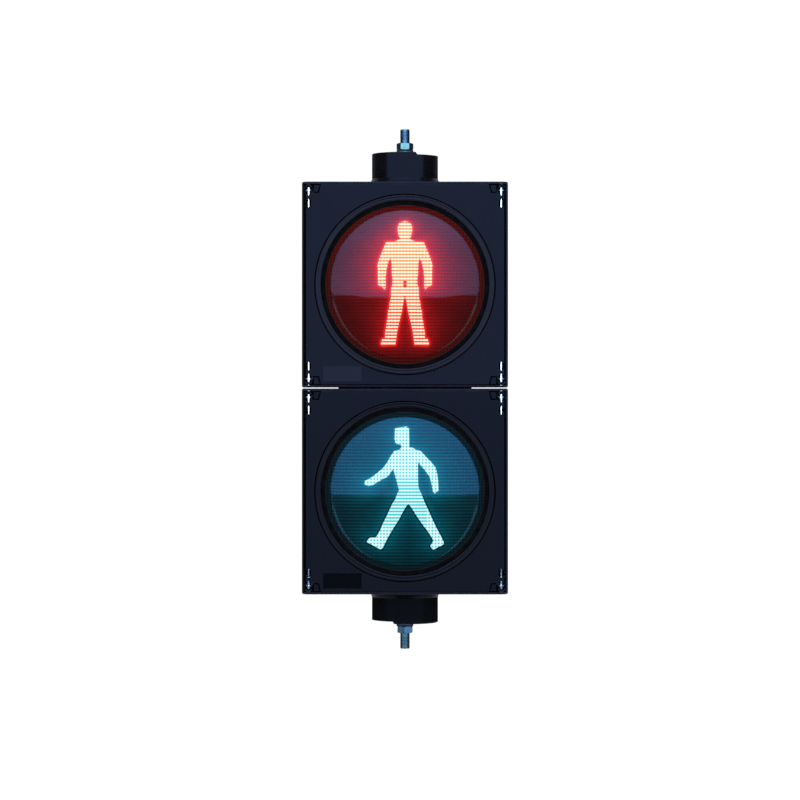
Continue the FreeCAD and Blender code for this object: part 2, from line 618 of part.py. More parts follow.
# ------------------------------------------------------------------
# Lens, pictogram mask and Fresnel lens, section frame
# ------------------------------------------------------------------
DOME_R = 90.3            # domed part of the lens
DOME_SAG = 16.0
LENS_T = 2.5
Y_LENS_RIM = Y_FACE + 3.5        # front of the lens rim
Y_FLANGE = Y_FACE + 5.0          # front of the lens flange
Y_MASK = Y_FLANGE + LENS_T       # back of the lens flange
FLANGE_R = 103.8                 # lens and module casing flanges
MASK_R, MASK_T = 95.5, 0.8
FRESNEL_R, FRESNEL_RINGS = 92.0, 12

# Pictogram outlines: (x, z) from the lens centre.
# Right half of the standing figure, from beside the head down to the crotch.
STAND_HALF = [
    (8.9, 68.8), (7.8, 57.5), (6.1, 55.5), (6.1, 53.6), (12.6, 51.6), (22.5, 50.8),
    (24.8, 46.6), (27.8, 39.1), (31.1, 31.1), (33.4, 22.9), (32.9, 18.6), (32.6, -0.5),
    (24.5, -6.1), (23.0, -4.1), (22.8, 10.0), (21.8, 18.6), (19.9, 26.5), (17.7, 31.0),
    (16.4, 25.2), (15.9, 12.0), (14.9, 5.4), (15.2, -0.5), (16.6, -4.3), (17.0, -16.1),
    (18.4, -21.7), (19.1, -28.5), (20.4, -32.6), (20.8, -40.3), (21.9, -44.4), (22.8, -52.1),
    (23.9, -57.1), (24.2, -64.6), (27.5, -66.1), (29.2, -71.7), (27.5, -73.9), (11.7, -72.9),
    (10.3, -63.3), (9.1, -55.9), (7.6, -48.4), (5.5, -40.3), (3.8, -32.9), (2.4, -24.8),
    (1.1, -18.6)]
STAND = ([(0.0, 77.7), (5.2, 75.6)] + STAND_HALF + [(0.0, -14.6)]
         + [(-x, z) for x, z in reversed(STAND_HALF)] + [(-5.2, 75.6)])
# Walking figure, clockwise from the top left of the head.
WALK = [
    (-12.2, 75.5), (-5.0, 77.3), (2.2, 78.2), (4.9, 75.3), (5.3, 59.8), (5.3, 52.4), (9.2, 52.1),
    (13.1, 49.7), (19.3, 47.8), (23.9, 42.7), (31.7, 34.6), (37.1, 27.6), (39.1, 19.5),
    (40.2, 10.9), (40.6, -0.3), (36.0, -4.6), (33.6, -1.5), (31.7, 7.8), (29.4, 17.1),
    (23.1, 25.7), (18.5, 30.7), (16.2, 33.4), (15.8, 31.1), (15.8, 15.6), (16.2, 4.7),
    (17.7, 0.0), (20.0, -4.7), (23.9, -14.8), (27.8, -23.3), (33.2, -35.7), (38.7, -47.3),
    (43.7, -56.7), (46.8, -63.6), (47.2, -66.4), (44.1, -68.3), (39.4, -70.6), (34.4, -73.7),
    (30.5, -69.1), (30.9, -67.9), (34.4, -62.1), (30.9, -55.9), (27.0, -49.7), (21.6, -42.7),
    (16.9, -35.7), (12.3, -28.7), (7.6, -21.0), (4.1, -16.7), (0.6, -21.0), (-3.2, -27.9),
    (-7.1, -35.7), (-11.0, -41.9), (-17.2, -52.0), (-22.6, -62.1), (-26.5, -70.6),
    (-29.2, -73.0), (-35.1, -70.2), (-39.7, -67.5), (-45.9, -64.4), (-45.9, -61.3),
    (-42.0, -58.6), (-35.1, -57.8), (-30.0, -48.9), (-26.5, -40.4), (-21.9, -31.1),
    (-18.4, -23.3), (-15.3, -16.3), (-12.2, -11.6), (-9.4, -4.3), (-7.1, 0.0), (-8.3, 4.6),
    (-10.2, 11.7), (-12.9, 21.0), (-14.1, 25.7), (-16.0, 23.3), (-20.3, 17.1), (-27.3, 13.3),
    (-32.0, 10.5), (-38.9, 6.3), (-44.0, 5.1), (-48.3, 6.7), (-49.4, 9.4), (-47.9, 11.7),
    (-41.3, 15.2), (-35.8, 19.5), (-26.5, 27.2), (-21.5, 34.2), (-17.2, 42.0), (-13.3, 47.8),
    (-7.1, 49.7), (-4.4, 52.1), (-4.9, 55.6), (-11.0, 56.7), (-12.6, 62.1)]


def lens_gasket():
    inner, step = LENS_VIS_R + 0.2, Y_FACE + 4.0
    return turn_y([(inner, Y_FACE + 2.5), (APERTURE_R, Y_FACE + 2.5), (APERTURE_R, step),
                   (104.4, step), (104.4, Y_FLANGE), (inner, Y_FLANGE)])


def lens():
    sphere_r = (DOME_R ** 2 + DOME_SAG ** 2) / (2 * DOME_SAG)
    centre = V(0, Y_LENS_RIM - DOME_SAG + sphere_r, 0)
    inner_r = DOME_R - LENS_T
    dome = Part.makeSphere(sphere_r, centre).common(cyl_y(DOME_R, Y_LENS_RIM - 30, Y_LENS_RIM))
    base = fuse([cyl_y(LENS_VIS_R, Y_LENS_RIM, Y_FLANGE + 0.5),
                 cyl_y(FLANGE_R, Y_FLANGE, Y_MASK)])
    body = dome.fuse(base)
    hollow = Part.makeSphere(sphere_r - LENS_T, centre)
    hollow = hollow.common(cyl_y(inner_r, Y_LENS_RIM - 30, Y_MASK + 1))
    body = body.cut(hollow).cut(cyl_y(inner_r, Y_LENS_RIM + 0.5, Y_MASK + 1))
    return body.removeSplitter()


def mask(figure):
    disc = cyl_y(MASK_R, Y_MASK, Y_MASK + MASK_T)
    return disc.cut(extrude_y(figure, Y_MASK - 1, Y_MASK + 2))


def fresnel_lens():
    """Disc with a flat front and sawtooth rings on the back."""
    y0 = Y_MASK + MASK_T
    y1 = y0 + 1.8
    points = [(0, y0), (MASK_R, y0), (MASK_R, y1)]
    for k in range(FRESNEL_RINGS, 0, -1):
        points.append((FRESNEL_R * k / FRESNEL_RINGS, y1))
        points.append((FRESNEL_R * (k - 1) / FRESNEL_RINGS, y1 + 1.4))
    return turn_y(points)


# ------------------------------------------------------------------
# LED module, section frame
# ------------------------------------------------------------------
Y_CASE = -28.0                       # front of the casing's back wall
Y_LED, Y_LED_BACK = -34.0, -32.4     # LED board faces
Y_BAY_BACK = -14.5                   # inner back face of the driver bay
Y_DRIVER = -18.1                     # front of the driver board
BOARD_POSTS = [polar(50, angle) for angle in (90, 210, 330)]
GLAND_X = -54.0
LED_XZ = ([(0, 0)] + [polar(18, 60 * k) for k in range(6)]
          + [polar(38, 30 * k + 15) for k in range(12)])


def module_casing():
    y0, y1 = Y_MASK, Y_CASE
    shell = turn_y([(95.7, y0), (FLANGE_R, y0), (FLANGE_R, y0 + 2.5), (98.6, y0 + 2.5),
                    (97.0, y0 + 6.5), (72.0, y1), (70.0, y1 + 2.5), (0, y1 + 2.5), (0, y1),
                    (69.0, y1), (93.0, y0 + 6.9), (93.0, y0 + 4.2), (95.7, y0 + 4.2)])
    # driver bay and cable gland behind, board posts in front
    adds = [shell, rounded_slab(40, 30, 5, y1 + 1, Y_BAY_BACK + 2),
            cyl_y(8.0, y1 + 1, -14.0, GLAND_X, 0.0)]
    adds += [cyl_y(3.5, Y_LED_BACK, y1 + 1, x, z) for x, z in BOARD_POSTS]
    casing = fuse(adds)
    casing = casing.cut(rounded_slab(38, 28, 3.5, y1 - 1, Y_BAY_BACK))
    casing = casing.cut(cyl_y(3.2, y1 - 3, -10, GLAND_X, 0.0))
    for x, z in BOARD_POSTS:
        casing = casing.cut(cyl_y(1.25, -34, y1 + 1, x, z))
    return casing


def led_board():
    board = cyl_y(60.0, Y_LED, Y_LED_BACK)
    for x, z in BOARD_POSTS:
        board = board.cut(cyl_y(1.6, -36, -30, x, z))
    return board.cut(box(-60, -50, -36, -30, -5, 5))


def led(x, z):
    y = Y_LED - 1.2
    bead = Part.makeSphere(2.0, V(x, y, z)).common(slot(3, 3, -38, y + 0.1, x, z))
    return fuse([slot(2.4, 2.4, y, Y_LED, x, z), bead])


def board_screw(x, z):
    body = screw(2.6, Y_LED - 1.8, Y_LED, 1.2, Y_LED - 0.5, -28.5, x, z)
    return body.cut(slot(3, 0.35, -36.5, Y_LED - 1, x, z))


def driver_board():
    y, root = Y_DRIVER, Y_DRIVER + 0.2
    adds = [box(-37, 37, y, y + 1.6, -27, 27),
            box(-30, -12, y - 8, root, -20, -2),           # transformer
            cyl_y(6.0, y - 9, root, 0.0, 12.0),            # capacitors
            cyl_y(4.0, y - 8, root, 14.0, 12.0),
            box(8, 24, y - 7, root, -18, -13),             # heat sink fins
            box(8, 24, y - 7, root, -11, -9.5),
            box(-32, -18, y - 6, root, 8, 20),             # connector
            box(27, 34, y - 3, root, -8, 4)]               # low block at the right edge
    for x in (33, -33):                                    # bearers to the bay's back wall
        adds.append(box(x - 2, x + 2, y + 1.5, Y_BAY_BACK, -20, 20))
    return fuse(adds)


def module_clip(side, end):
    clip = box(99.4, 115.6, Y_BOSS, Y_BOSS + 1.5, -6, 6)
    clip = clip.makeFillet(2.0, [e for e in clip.Edges if e.BoundBox.YLength > 1])
    clip = fuse([clip, box(99.4, 100.9, Y_BOSS, Y_BOSS + 4, -4, 4)])
    clip = clip.cut(cyl_y(2.2, Y_BOSS - 1, Y_BOSS + 2, CLIP_XZ * math.sqrt(2), 0))
    return to_corner(clip, side, end)


def clip_screw(side, end):
    """Cross-slotted screw with its head at the back."""
    x, z = side * CLIP_XZ, end * CLIP_XZ
    body = screw(3.8, Y_BOSS + 1.5, Y_BOSS + 4.2, 2.0, Y_FACE + 3.6, Y_BOSS + 2, x, z)
    y0, y1 = Y_BOSS + 3.2, Y_BOSS + 5
    return body.cut(slot(3, 0.45, y0, y1, x, z)).cut(slot(0.45, 3, y0, y1, x, z))


def door_cable(route):
    """Cable from the module gland, looping towards the left wall, to the terminal block."""
    start = [(GLAND_X, -24.0, 0.0), (GLAND_X, -10.0, 0.0), (-68.0, 1.0, -3.0)]
    return tube_along(start + route, DOOR_CABLE_R)


cable_x = BLOCK_X + TERMINAL_DX[1]
LOWER_ROUTE = [(-88.0, 10.0, -18.0), (-91.0, 24.0, -52.0), (-84.0, 42.0, -78.0),
               (cable_x, Y_WIRE, BLOCK_Z - 28.0), (cable_x, Y_WIRE, BLOCK_Z - 13.0)]
UPPER_ROUTE = [(-89.0, 9.0, -9.0), (-89.0, 28.0, -14.0),
               (cable_x, Y_WIRE, BLOCK_Z + 26.0), (cable_x, Y_WIRE, BLOCK_Z + 13.0)]

# ------------------------------------------------------------------
# Pins and springs, section frame
# ------------------------------------------------------------------
PIN_STEPS = [                        # radius, start and end depth from the section edge
    (PIN_R, 1.2, PIN_END),           # shank
    (PIN_R - 0.5, 0.7, 1.5),         # reduced tip
    (2.8, 7.3, 9.2), (2.8, 9.8, 12.9),   # grip sleeve
    (5.6, 9.9, 10.9),                # thumb flange
    (4.3, RING_E, RING_E + 1.0)]     # retaining ring
SPRING_R, SPRING_WIRE_R = 3.55, 0.5
SPRING_SPACE = 9.4                   # room between ring and chamber end
SPRING_FILL = 0.86                   # share of that room the helix takes
SPRING_TURNS = 5
SPRING_LIFT = 0.66                   # helix start above the bottom of the room


def pin(side, end):
    return fuse([cyl_z(radius, *from_edge(end, a, b), side * PIN_X, PIN_Y)
                 for radius, a, b in PIN_STEPS])


def pin_spring(side, end):
    length = SPRING_SPACE * SPRING_FILL
    helix = Part.makeHelix(length / SPRING_TURNS, length, SPRING_R)
    profile = Part.Wire([Part.makeCircle(SPRING_WIRE_R, V(SPRING_R, 0, 0), AXIS_Y)])
    spring = Part.Wire(helix.Edges).makePipeShell([profile], True, True)
    top = RING_E + 1.05
    z0 = from_edge(end, top, top + SPRING_SPACE)[0] + SPRING_LIFT
    return moved(spring, side * PIN_X, PIN_Y, z0)


# name, lens centre, joint end, pictogram, front of the label, cable route
SECTIONS = [("lower", Z_LOW_MID, 1, WALK, Y_FACE + 0.45, LOWER_ROUTE),
            ("upper", Z_UP_MID, -1, STAND, Y_FACE - 0.25, UPPER_ROUTE)]

for section, z_mid, joint_end, figure, y_label, route in SECTIONS:
    pieces = {
        "housing": housing(joint_end),
        "door_seal": door_seal(),
        "door": door(),
        "bezel": bezel(),
        "lens_gasket": lens_gasket(),
        "lens": lens(),
        "mask": mask(figure),
        "fresnel_lens": fresnel_lens(),
        "module_casing": module_casing(),
        "led_board": led_board(),
        "leds": [led(x, z) for x, z in LED_XZ],
        "board_screws": [board_screw(x, z) for x, z in BOARD_POSTS],
        "driver_board": driver_board(),
        "module_clips": [module_clip(*corner) for corner in CORNERS],
        "clip_screws": [clip_screw(*corner) for corner in CORNERS],
        "label_plate": label_plate(y_label),
        "pin_springs": [pin_spring(*corner) for corner in CORNERS],
        "door_cable": door_cable(route),
        "pin_tl": pin(-1, 1),
        "pin_bl": pin(-1, -1),
        "pin_tr": pin(1, 1),
        "pin_br": pin(1, -1),
    }
    for piece, shapes in pieces.items():
        save("%s_%s" % (section, piece), shapes, z_mid)
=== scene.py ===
# A pedestrian signal head: an upper section with a red standing figure and a lower one with
# a green walking figure, joined by a threaded rod on the Z axis. The lenses face -Y, so the
# front is -Y, and +X is on the right as seen from the front. Units are metres, except where
# a name or comment says mm.
import bpy
import json
import math
import numpy as np
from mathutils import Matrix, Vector

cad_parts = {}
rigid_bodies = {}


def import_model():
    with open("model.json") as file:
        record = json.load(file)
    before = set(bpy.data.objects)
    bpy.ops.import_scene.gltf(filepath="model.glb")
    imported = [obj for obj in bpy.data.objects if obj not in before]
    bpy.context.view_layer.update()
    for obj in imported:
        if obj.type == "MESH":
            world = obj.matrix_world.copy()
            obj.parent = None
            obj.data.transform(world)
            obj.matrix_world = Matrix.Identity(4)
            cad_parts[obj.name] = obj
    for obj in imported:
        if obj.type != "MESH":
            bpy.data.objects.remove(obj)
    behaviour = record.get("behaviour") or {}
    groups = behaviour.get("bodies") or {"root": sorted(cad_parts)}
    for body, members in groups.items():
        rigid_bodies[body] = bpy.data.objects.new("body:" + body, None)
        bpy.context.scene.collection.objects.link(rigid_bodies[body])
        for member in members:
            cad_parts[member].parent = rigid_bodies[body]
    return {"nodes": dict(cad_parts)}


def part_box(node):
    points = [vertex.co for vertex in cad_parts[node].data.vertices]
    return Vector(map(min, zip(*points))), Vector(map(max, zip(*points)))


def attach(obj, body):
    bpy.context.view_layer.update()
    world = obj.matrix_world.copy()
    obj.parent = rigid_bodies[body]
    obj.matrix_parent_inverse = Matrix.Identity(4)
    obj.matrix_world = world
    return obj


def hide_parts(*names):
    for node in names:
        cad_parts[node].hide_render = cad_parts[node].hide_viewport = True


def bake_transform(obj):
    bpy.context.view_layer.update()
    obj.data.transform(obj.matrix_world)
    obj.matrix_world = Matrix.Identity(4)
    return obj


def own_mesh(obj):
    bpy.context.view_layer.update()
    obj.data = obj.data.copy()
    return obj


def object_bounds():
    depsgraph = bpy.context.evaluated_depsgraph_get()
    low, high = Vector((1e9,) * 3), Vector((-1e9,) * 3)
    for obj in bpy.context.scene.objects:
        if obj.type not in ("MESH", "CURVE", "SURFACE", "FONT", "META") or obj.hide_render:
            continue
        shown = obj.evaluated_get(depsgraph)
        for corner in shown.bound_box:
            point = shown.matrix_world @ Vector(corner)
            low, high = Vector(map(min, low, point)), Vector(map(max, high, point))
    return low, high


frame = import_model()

cad_lo, cad_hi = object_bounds()

SECTIONS = ("lower", "upper")
KIND = {"lower": "green", "upper": "red"}
LATHE_STEPS = 144


# ------------------------------------------------------------------
# places taken from the frame
# ------------------------------------------------------------------
LENS_Z = {}         # height of each lens centre
LENS_APEX = {}      # y of each dome's foremost point, mm
for section in SECTIONS:
    lens_lo, lens_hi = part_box(section + "_lens")
    LENS_Z[section] = (lens_lo.z + lens_hi.z) / 2
    LENS_APEX[section] = lens_lo.y * 1000.0
UPPER_HOUSING_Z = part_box("upper_housing")[0].z
JOINT_Z = (UPPER_HOUSING_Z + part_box("lower_housing")[1].z) / 2
FACE_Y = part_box("upper_door")[0].y


# ------------------------------------------------------------------
# node trees
# ------------------------------------------------------------------
NOISE_BAND = (0.3, 0.7)     # where most of a noise texture's values lie


def scaled(color, factor):
    return tuple(channel * factor for channel in color)


class Graph:
    """Builds the node tree of a material or a world."""

    def __init__(self, owner, output="ShaderNodeOutputMaterial"):
        self.owner = owner
        owner.use_nodes = True
        self.tree = owner.node_tree
        self.tree.nodes.clear()
        self.output = self.add(output)

    def put(self, socket, value):
        """Link an output to the socket, or set its value; RGB colours get an alpha of 1."""
        if hasattr(value, "is_output"):
            self.tree.links.new(value, socket)
        elif socket.type == "RGBA" and len(value) == 3:
            socket.default_value = (*value, 1.0)
        else:
            socket.default_value = value

    def add(self, kind, inputs=None, **settings):
        node = self.tree.nodes.new(kind)
        for name, value in settings.items():
            setattr(node, name, value)
        for key, value in (inputs or {}).items():
            self.put(node.inputs[key], value)
        return node

    def finish(self, shader):
        self.put(self.output.inputs["Surface"], shader.outputs[0])
        return self.owner

    def principled(self, **inputs):
        named = {key.replace("_", " "): value for key, value in inputs.items()}
        return self.finish(self.add("ShaderNodeBsdfPrincipled", named))

    def math(self, operation, *values):
        return self.add("ShaderNodeMath", dict(enumerate(values)), operation=operation).outputs[0]

    def plus(self, a, b):
        return self.math("ADD", a, b)

    def minus(self, a, b):
        return self.math("SUBTRACT", a, b)

    def times(self, a, b):
        return self.math("MULTIPLY", a, b)

    def size(self, value):
        return self.math("ABSOLUTE", value)

    def vector_math(self, operation, *values):
        node = self.add("ShaderNodeVectorMath", dict(enumerate(values)), operation=operation)
        return node.outputs["Value" if operation == "DOT_PRODUCT" else "Vector"]

    def coords(self, scale=(1, 1, 1)):
        source = self.add("ShaderNodeTexCoord").outputs["Object"]
        return self.add("ShaderNodeMapping", {"Vector": source, "Scale": scale}).outputs["Vector"]

    def split(self, vector):
        return self.add("ShaderNodeSeparateXYZ", {0: vector}).outputs

    def height_over(self, level):
        return self.minus(self.split(self.coords())["Z"], level)

    def attribute(self, name):
        return self.add("ShaderNodeAttribute", attribute_name=name).outputs["Fac"]

    def noise(self, vector, scale, detail=4.0):
        inputs = {"Vector": vector, "Scale": scale, "Detail": detail, "Roughness": 0.55}
        return self.add("ShaderNodeTexNoise", inputs).outputs["Fac"]

    def ramp(self, value, over=NOISE_BAND, to=(0.0, 1.0), smooth=True):
        """Map the range `over` of a value to the range `to`."""
        inputs = {"Value": value, "From Min": over[0], "From Max": over[1],
                  "To Min": to[0], "To Max": to[1]}
        kind = "SMOOTHSTEP" if smooth else "LINEAR"
        return self.add("ShaderNodeMapRange", inputs, interpolation_type=kind).outputs["Result"]

    def mix(self, factor, a, b, blend="MIX"):
        return self.add("ShaderNodeMix", {0: factor, 6: a, 7: b},
                        data_type="RGBA", blend_type=blend).outputs[2]

    def mix_value(self, factor, a, b):
        return self.add("ShaderNodeMix", {0: factor, 2: a, 3: b}, data_type="FLOAT").outputs[0]

    def mottle(self, noise, color, low, high=1.0, over=NOISE_BAND):
        """Vary a colour between `low` and `high` times itself."""
        return self.mix(self.ramp(noise, over), scaled(color, low), scaled(color, high))

    def bump(self, height, strength, distance, normal=None):
        inputs = {"Strength": strength, "Distance": distance, "Height": height}
        if normal is not None:
            inputs["Normal"] = normal
        return self.add("ShaderNodeBump", inputs).outputs["Normal"]


def new_material(name):
    return Graph(bpy.data.materials.new(name))


# ------------------------------------------------------------------
# general materials
# ------------------------------------------------------------------
def plastic(name, base, rough=0.3, grain=0.5, edge_wear_and_highlight=(0.05, 0.055, 0.065), edge_wear_and_highlight_amount=0.35,
            specular=0.5, dust=0.12, edge_mm=0.7, nook_mm=0.0):
    """Moulded plastic with lighter edges `edge_mm` wide, worn and, where wide as on the shell, a
    painted highlight, and painted shade in pockets `nook_mm` across.
    """
    m = new_material(name)
    place = m.coords()
    broad = m.noise(place, scale=7.0, detail=3.0)
    medium = m.noise(place, scale=60.0, detail=5.0)
    fine = m.noise(place, scale=1100.0, detail=2.0)
    color = m.mottle(broad, base, low=0.94, high=1.07)

    # edges: where a rounded normal leaves the true one; they are worn lighter, and the wider band
    # on the shell is a painted highlight
    normal = m.add("ShaderNodeNewGeometry").outputs["Normal"]
    bevel = m.add("ShaderNodeBevel", {"Radius": edge_mm / 1000.0}, samples=5)
    agreement = m.vector_math("DOT_PRODUCT", bevel.outputs["Normal"], normal)
    patchy = m.ramp(medium, over=(0.3, 0.65), to=(0.35, 1.0))
    edge = m.times(m.ramp(agreement, over=(0.985, 0.86)), patchy)
    color = m.mix(m.times(edge, edge_wear_and_highlight_amount), color, edge_wear_and_highlight)

    # a thin film of dust lies on upward faces and dulls them
    dust_color = (0.16, 0.16, 0.16)
    dust_roughness = 0.12
    upward = m.ramp(m.split(normal)["Z"], over=(0.2, 1.0))
    film = m.times(upward, m.ramp(medium, over=(0.4, 0.75)))
    color = m.mix(m.times(film, dust), color, dust_color)
    roughness = m.plus(m.ramp(medium, to=(rough - 0.025, rough + 0.025)),
                       m.times(film, dust_roughness))

    # fine level scratches
    scratch_roughness = 0.04
    streaks = m.noise(m.coords(scale=(40.0, 40.0, 900.0)), scale=1.0, detail=3.0)
    scratch = m.ramp(streaks, over=(0.66, 0.74))
    roughness = m.plus(roughness, m.times(scratch, scratch_roughness))
    relief = m.bump(fine, strength=0.10 * grain, distance=0.0002)
    relief = m.bump(medium, strength=0.02 * grain, distance=0.001, normal=relief)

    if nook_mm:
        # painted shade: pockets and grooves are darkened by ambient occlusion
        pocket_shade_color = (0.0006, 0.0006, 0.0009)
        occlusion = m.add("ShaderNodeAmbientOcclusion", {"Distance": nook_mm / 1000.0}, samples=6)
        unshaded = m.ramp(occlusion.outputs["AO"], over=(0.40, 0.86), to=(0.10, 1.0))
        color = m.mix(unshaded, pocket_shade_color, color)
        specular = m.times(unshaded, specular)
    return m.principled(Base_Color=color, Roughness=roughness, Normal=relief,
                        Specular_IOR_Level=specular)


def rubber(name, base):
    m = new_material(name)
    place = m.coords()
    medium = m.noise(place, scale=160.0, detail=5.0)
    fine = m.noise(place, scale=1600.0, detail=2.0)
    return m.principled(Base_Color=m.mottle(medium, base, low=1.0, high=2.2, over=(0.35, 0.7)),
                        Roughness=m.ramp(medium, to=(0.7, 0.85)),
                        Normal=m.bump(fine, strength=0.3, distance=0.0002),
                        Specular_IOR_Level=0.08)


def metal(name, base, rough, brush=(1, 1, 1), stain=0.3, scale=220.0, body=0.0, film=0.0):
    """Metal; `brush` stretches the grain, `body` takes away metallic, `film` paints shade where
    the surface turns away.
    """
    m = new_material(name)
    grain = m.noise(m.coords(brush), scale=scale)
    broad = m.noise(m.coords(), scale=70.0)
    color = m.mottle(broad, base, low=0.82)
    stain_color = (0.25, 0.24, 0.22)
    spots = m.ramp(m.noise(m.coords(), scale=240.0, detail=5.0), over=(0.6, 0.75))
    color = m.mix(m.times(spots, stain), color, stain_color)
    if film:
        # painted shade: darker where the surface turns away from view
        turned_away_shade_color = (0.030, 0.030, 0.045)
        facing = m.add("ShaderNodeLayerWeight", {"Blend": 0.5}).outputs["Facing"]
        color = m.mix(m.ramp(facing, over=(0.17, 0.36), to=(0.0, film)), color, turned_away_shade_color)
    return m.principled(Base_Color=color, Roughness=m.ramp(grain, to=(rough - 0.06, rough + 0.08)),
                        Normal=m.bump(grain, strength=0.08, distance=0.0001),
                        Metallic=1.0 - body)


def circuit(name):
    """Green board with a brick pattern for its tracks."""
    m = new_material(name)
    place = m.coords()
    bricks = m.add("ShaderNodeTexBrick", {
        "Vector": m.coords((1, 0, 1)), "Scale": 180.0, "Mortar Size": 0.06,
        "Color1": (0.012, 0.10, 0.045), "Color2": (0.010, 0.085, 0.040),
        "Mortar": (0.03, 0.18, 0.08)})
    patches = m.noise(place, scale=300.0, detail=3.0)
    patch_color = (0.02, 0.12, 0.06)
    color = m.mix(m.ramp(patches, over=(0.4, 0.7)), bricks.outputs["Color"], patch_color)
    return m.principled(Base_Color=color, Roughness=m.ramp(patches, to=(0.25, 0.4)),
                        Normal=m.bump(bricks.outputs["Fac"], strength=0.2, distance=0.0001))


def led(name, color):
    m = new_material(name)
    patches = m.noise(m.coords(), scale=400.0, detail=2.0)
    return m.principled(Base_Color=m.mottle(patches, color, low=0.7), Roughness=0.2,
                        Emission_Color=color, Emission_Strength=1.5)


MAT = {
    # partly painted light: the shell's base colour is raised and its lighter edges widened, for
    # light on its side strips
    "shell": plastic("shell_plastic", (0.0068, 0.0104, 0.0216), rough=0.27, edge_mm=1.2),
    # painted light and shade: door, bezel, collar and label come as a lighter, glossier lit copy
    # for the upper section and a darker, duller shaded copy for the lower one, for how the light
    # falls on each
    "door_upper": plastic("door_plastic", (0.0042, 0.0055, 0.0095), rough=0.25, grain=0.4,
                          nook_mm=4.0),
    "door_lower": plastic("door_plastic_lower", (0.0038, 0.0048, 0.0078), rough=0.26, grain=0.4,
                          specular=0.40, nook_mm=4.0),
    "bezel_lower": plastic("bezel_plastic_lower", (0.0046, 0.0056, 0.0085), rough=0.27,
                           grain=0.4, specular=0.42),
    "collar_lower": plastic("collar_plastic_lower", (0.0034, 0.0037, 0.0046), rough=0.24,
                            grain=0.35, specular=0.17, nook_mm=7.0),
    "collar_upper": plastic("collar_plastic", (0.0040, 0.0045, 0.0062), rough=0.2, grain=0.35,
                            nook_mm=7.0),
    "bezel_upper": plastic("bezel_plastic", (0.0102, 0.0128, 0.0215), rough=0.26, grain=0.4),
    "label_upper": plastic("label_plastic", (0.0098, 0.0138, 0.0250), rough=0.34, grain=0.8,
                           nook_mm=1.2),
    "label_lower": plastic("label_plastic_shaded", (0.0016, 0.0016, 0.0030), rough=0.38,
                           grain=0.8, specular=0.14, edge_wear_and_highlight_amount=0.15),
    "rubber": rubber("black_rubber", (0.0022, 0.0022, 0.0028)),
    # painted shade: the plated zinc darkens where it turns away from view
    "zinc": metal("zinc_plate", (0.40, 0.80, 0.94), rough=0.22, brush=(1, 1, 0.3), body=0.12,
                  film=0.82),
    "zinc_rod": metal("zinc_plate_rod", (0.42, 0.86, 1.0), rough=0.20, brush=(1, 1, 0.3),
                      body=0.05, film=0.95),
    # painted shade: the spring washers get a darker, duller zinc for the shade they sit in
    "zinc_in_shade": metal("zinc_in_shade", (0.060, 0.070, 0.090), rough=0.38, body=0.5),
    "pin": metal("pin_steel", (0.84, 0.98, 1.0), rough=0.14, brush=(1, 1, 0.15), stain=0.1),
    "spring": metal("spring_wire", (0.60, 0.62, 0.64), rough=0.25, stain=0.2, scale=500.0),
    "tube": metal("tube_steel", (0.50, 0.53, 0.55), rough=0.32, brush=(1, 1, 0.02)),
    "casing": plastic("casing_plastic", (0.12, 0.125, 0.13), rough=0.42, grain=1.2,
                      edge_wear_and_highlight=(0.3, 0.3, 0.3), dust=0.2),
    "nylon": plastic("nylon", (0.52, 0.51, 0.47), rough=0.4, grain=0.8, edge_wear_and_highlight=(0.7, 0.7, 0.68),
                     dust=0.1),
    "mask": plastic("mask_film", (0.004, 0.004, 0.004), rough=0.5),
    "clear": plastic("clear_optic", (0.5, 0.52, 0.53), rough=0.15, grain=0.3),
    "board": circuit("circuit_board"),
    "sheath": plastic("cable_sheath", (0.010, 0.010, 0.011), rough=0.45, grain=1.0),
    "leds_upper": led("led_red", (0.9, 0.06, 0.03)),
    "leds_lower": led("led_green", (0.08, 0.8, 0.6)),
}

# material: parts of the whole head
HEAD_PARTS = {
    "shell": ("lower_housing", "upper_housing"),
    "rubber": ("collar_gaskets", "coupling_gasket"),
    "zinc": ("tie_rod", "stud_nuts", "flat_washers", "coupling_bolts", "coupling_nuts",
             "terminal_screws"),
    "zinc_in_shade": ("spring_washers",),
    "tube": ("spacer_tubes",),
    "nylon": ("terminal_blocks", "loom_clip"),
    "sheath": ("wiring_loom",),
}
# material: parts each section has, without the section's name
SECTION_PARTS = {
    "rubber": ("door_seal", "lens_gasket"),
    "clear": ("lens", "fresnel_lens"),
    "mask": ("mask",),
    "casing": ("module_casing",),
    "board": ("led_board", "driver_board"),
    "zinc": ("board_screws", "clip_screws"),
    "spring": ("module_clips", "pin_springs"),
    "sheath": ("door_cable",),
    "pin": ("pin_tl", "pin_bl", "pin_tr", "pin_br"),
}
# material, less the section's name: part with a material of its own in each section
OWN_PARTS = {"door": "door", "bezel": "bezel", "collar": "collar", "label": "label_plate",
             "leds": "leds"}


def assign(part, material):
    slots = frame["nodes"][part].data.materials
    slots.clear()
    slots.append(MAT[material])


for material, parts in HEAD_PARTS.items():
    for part in parts:
        assign(part, material)
for section in SECTIONS:
    for material, parts in SECTION_PARTS.items():
        for part in parts:
            assign(section + "_" + part, material)
    for material, part in OWN_PARTS.items():
        assign(section + "_" + part, material + "_" + section)


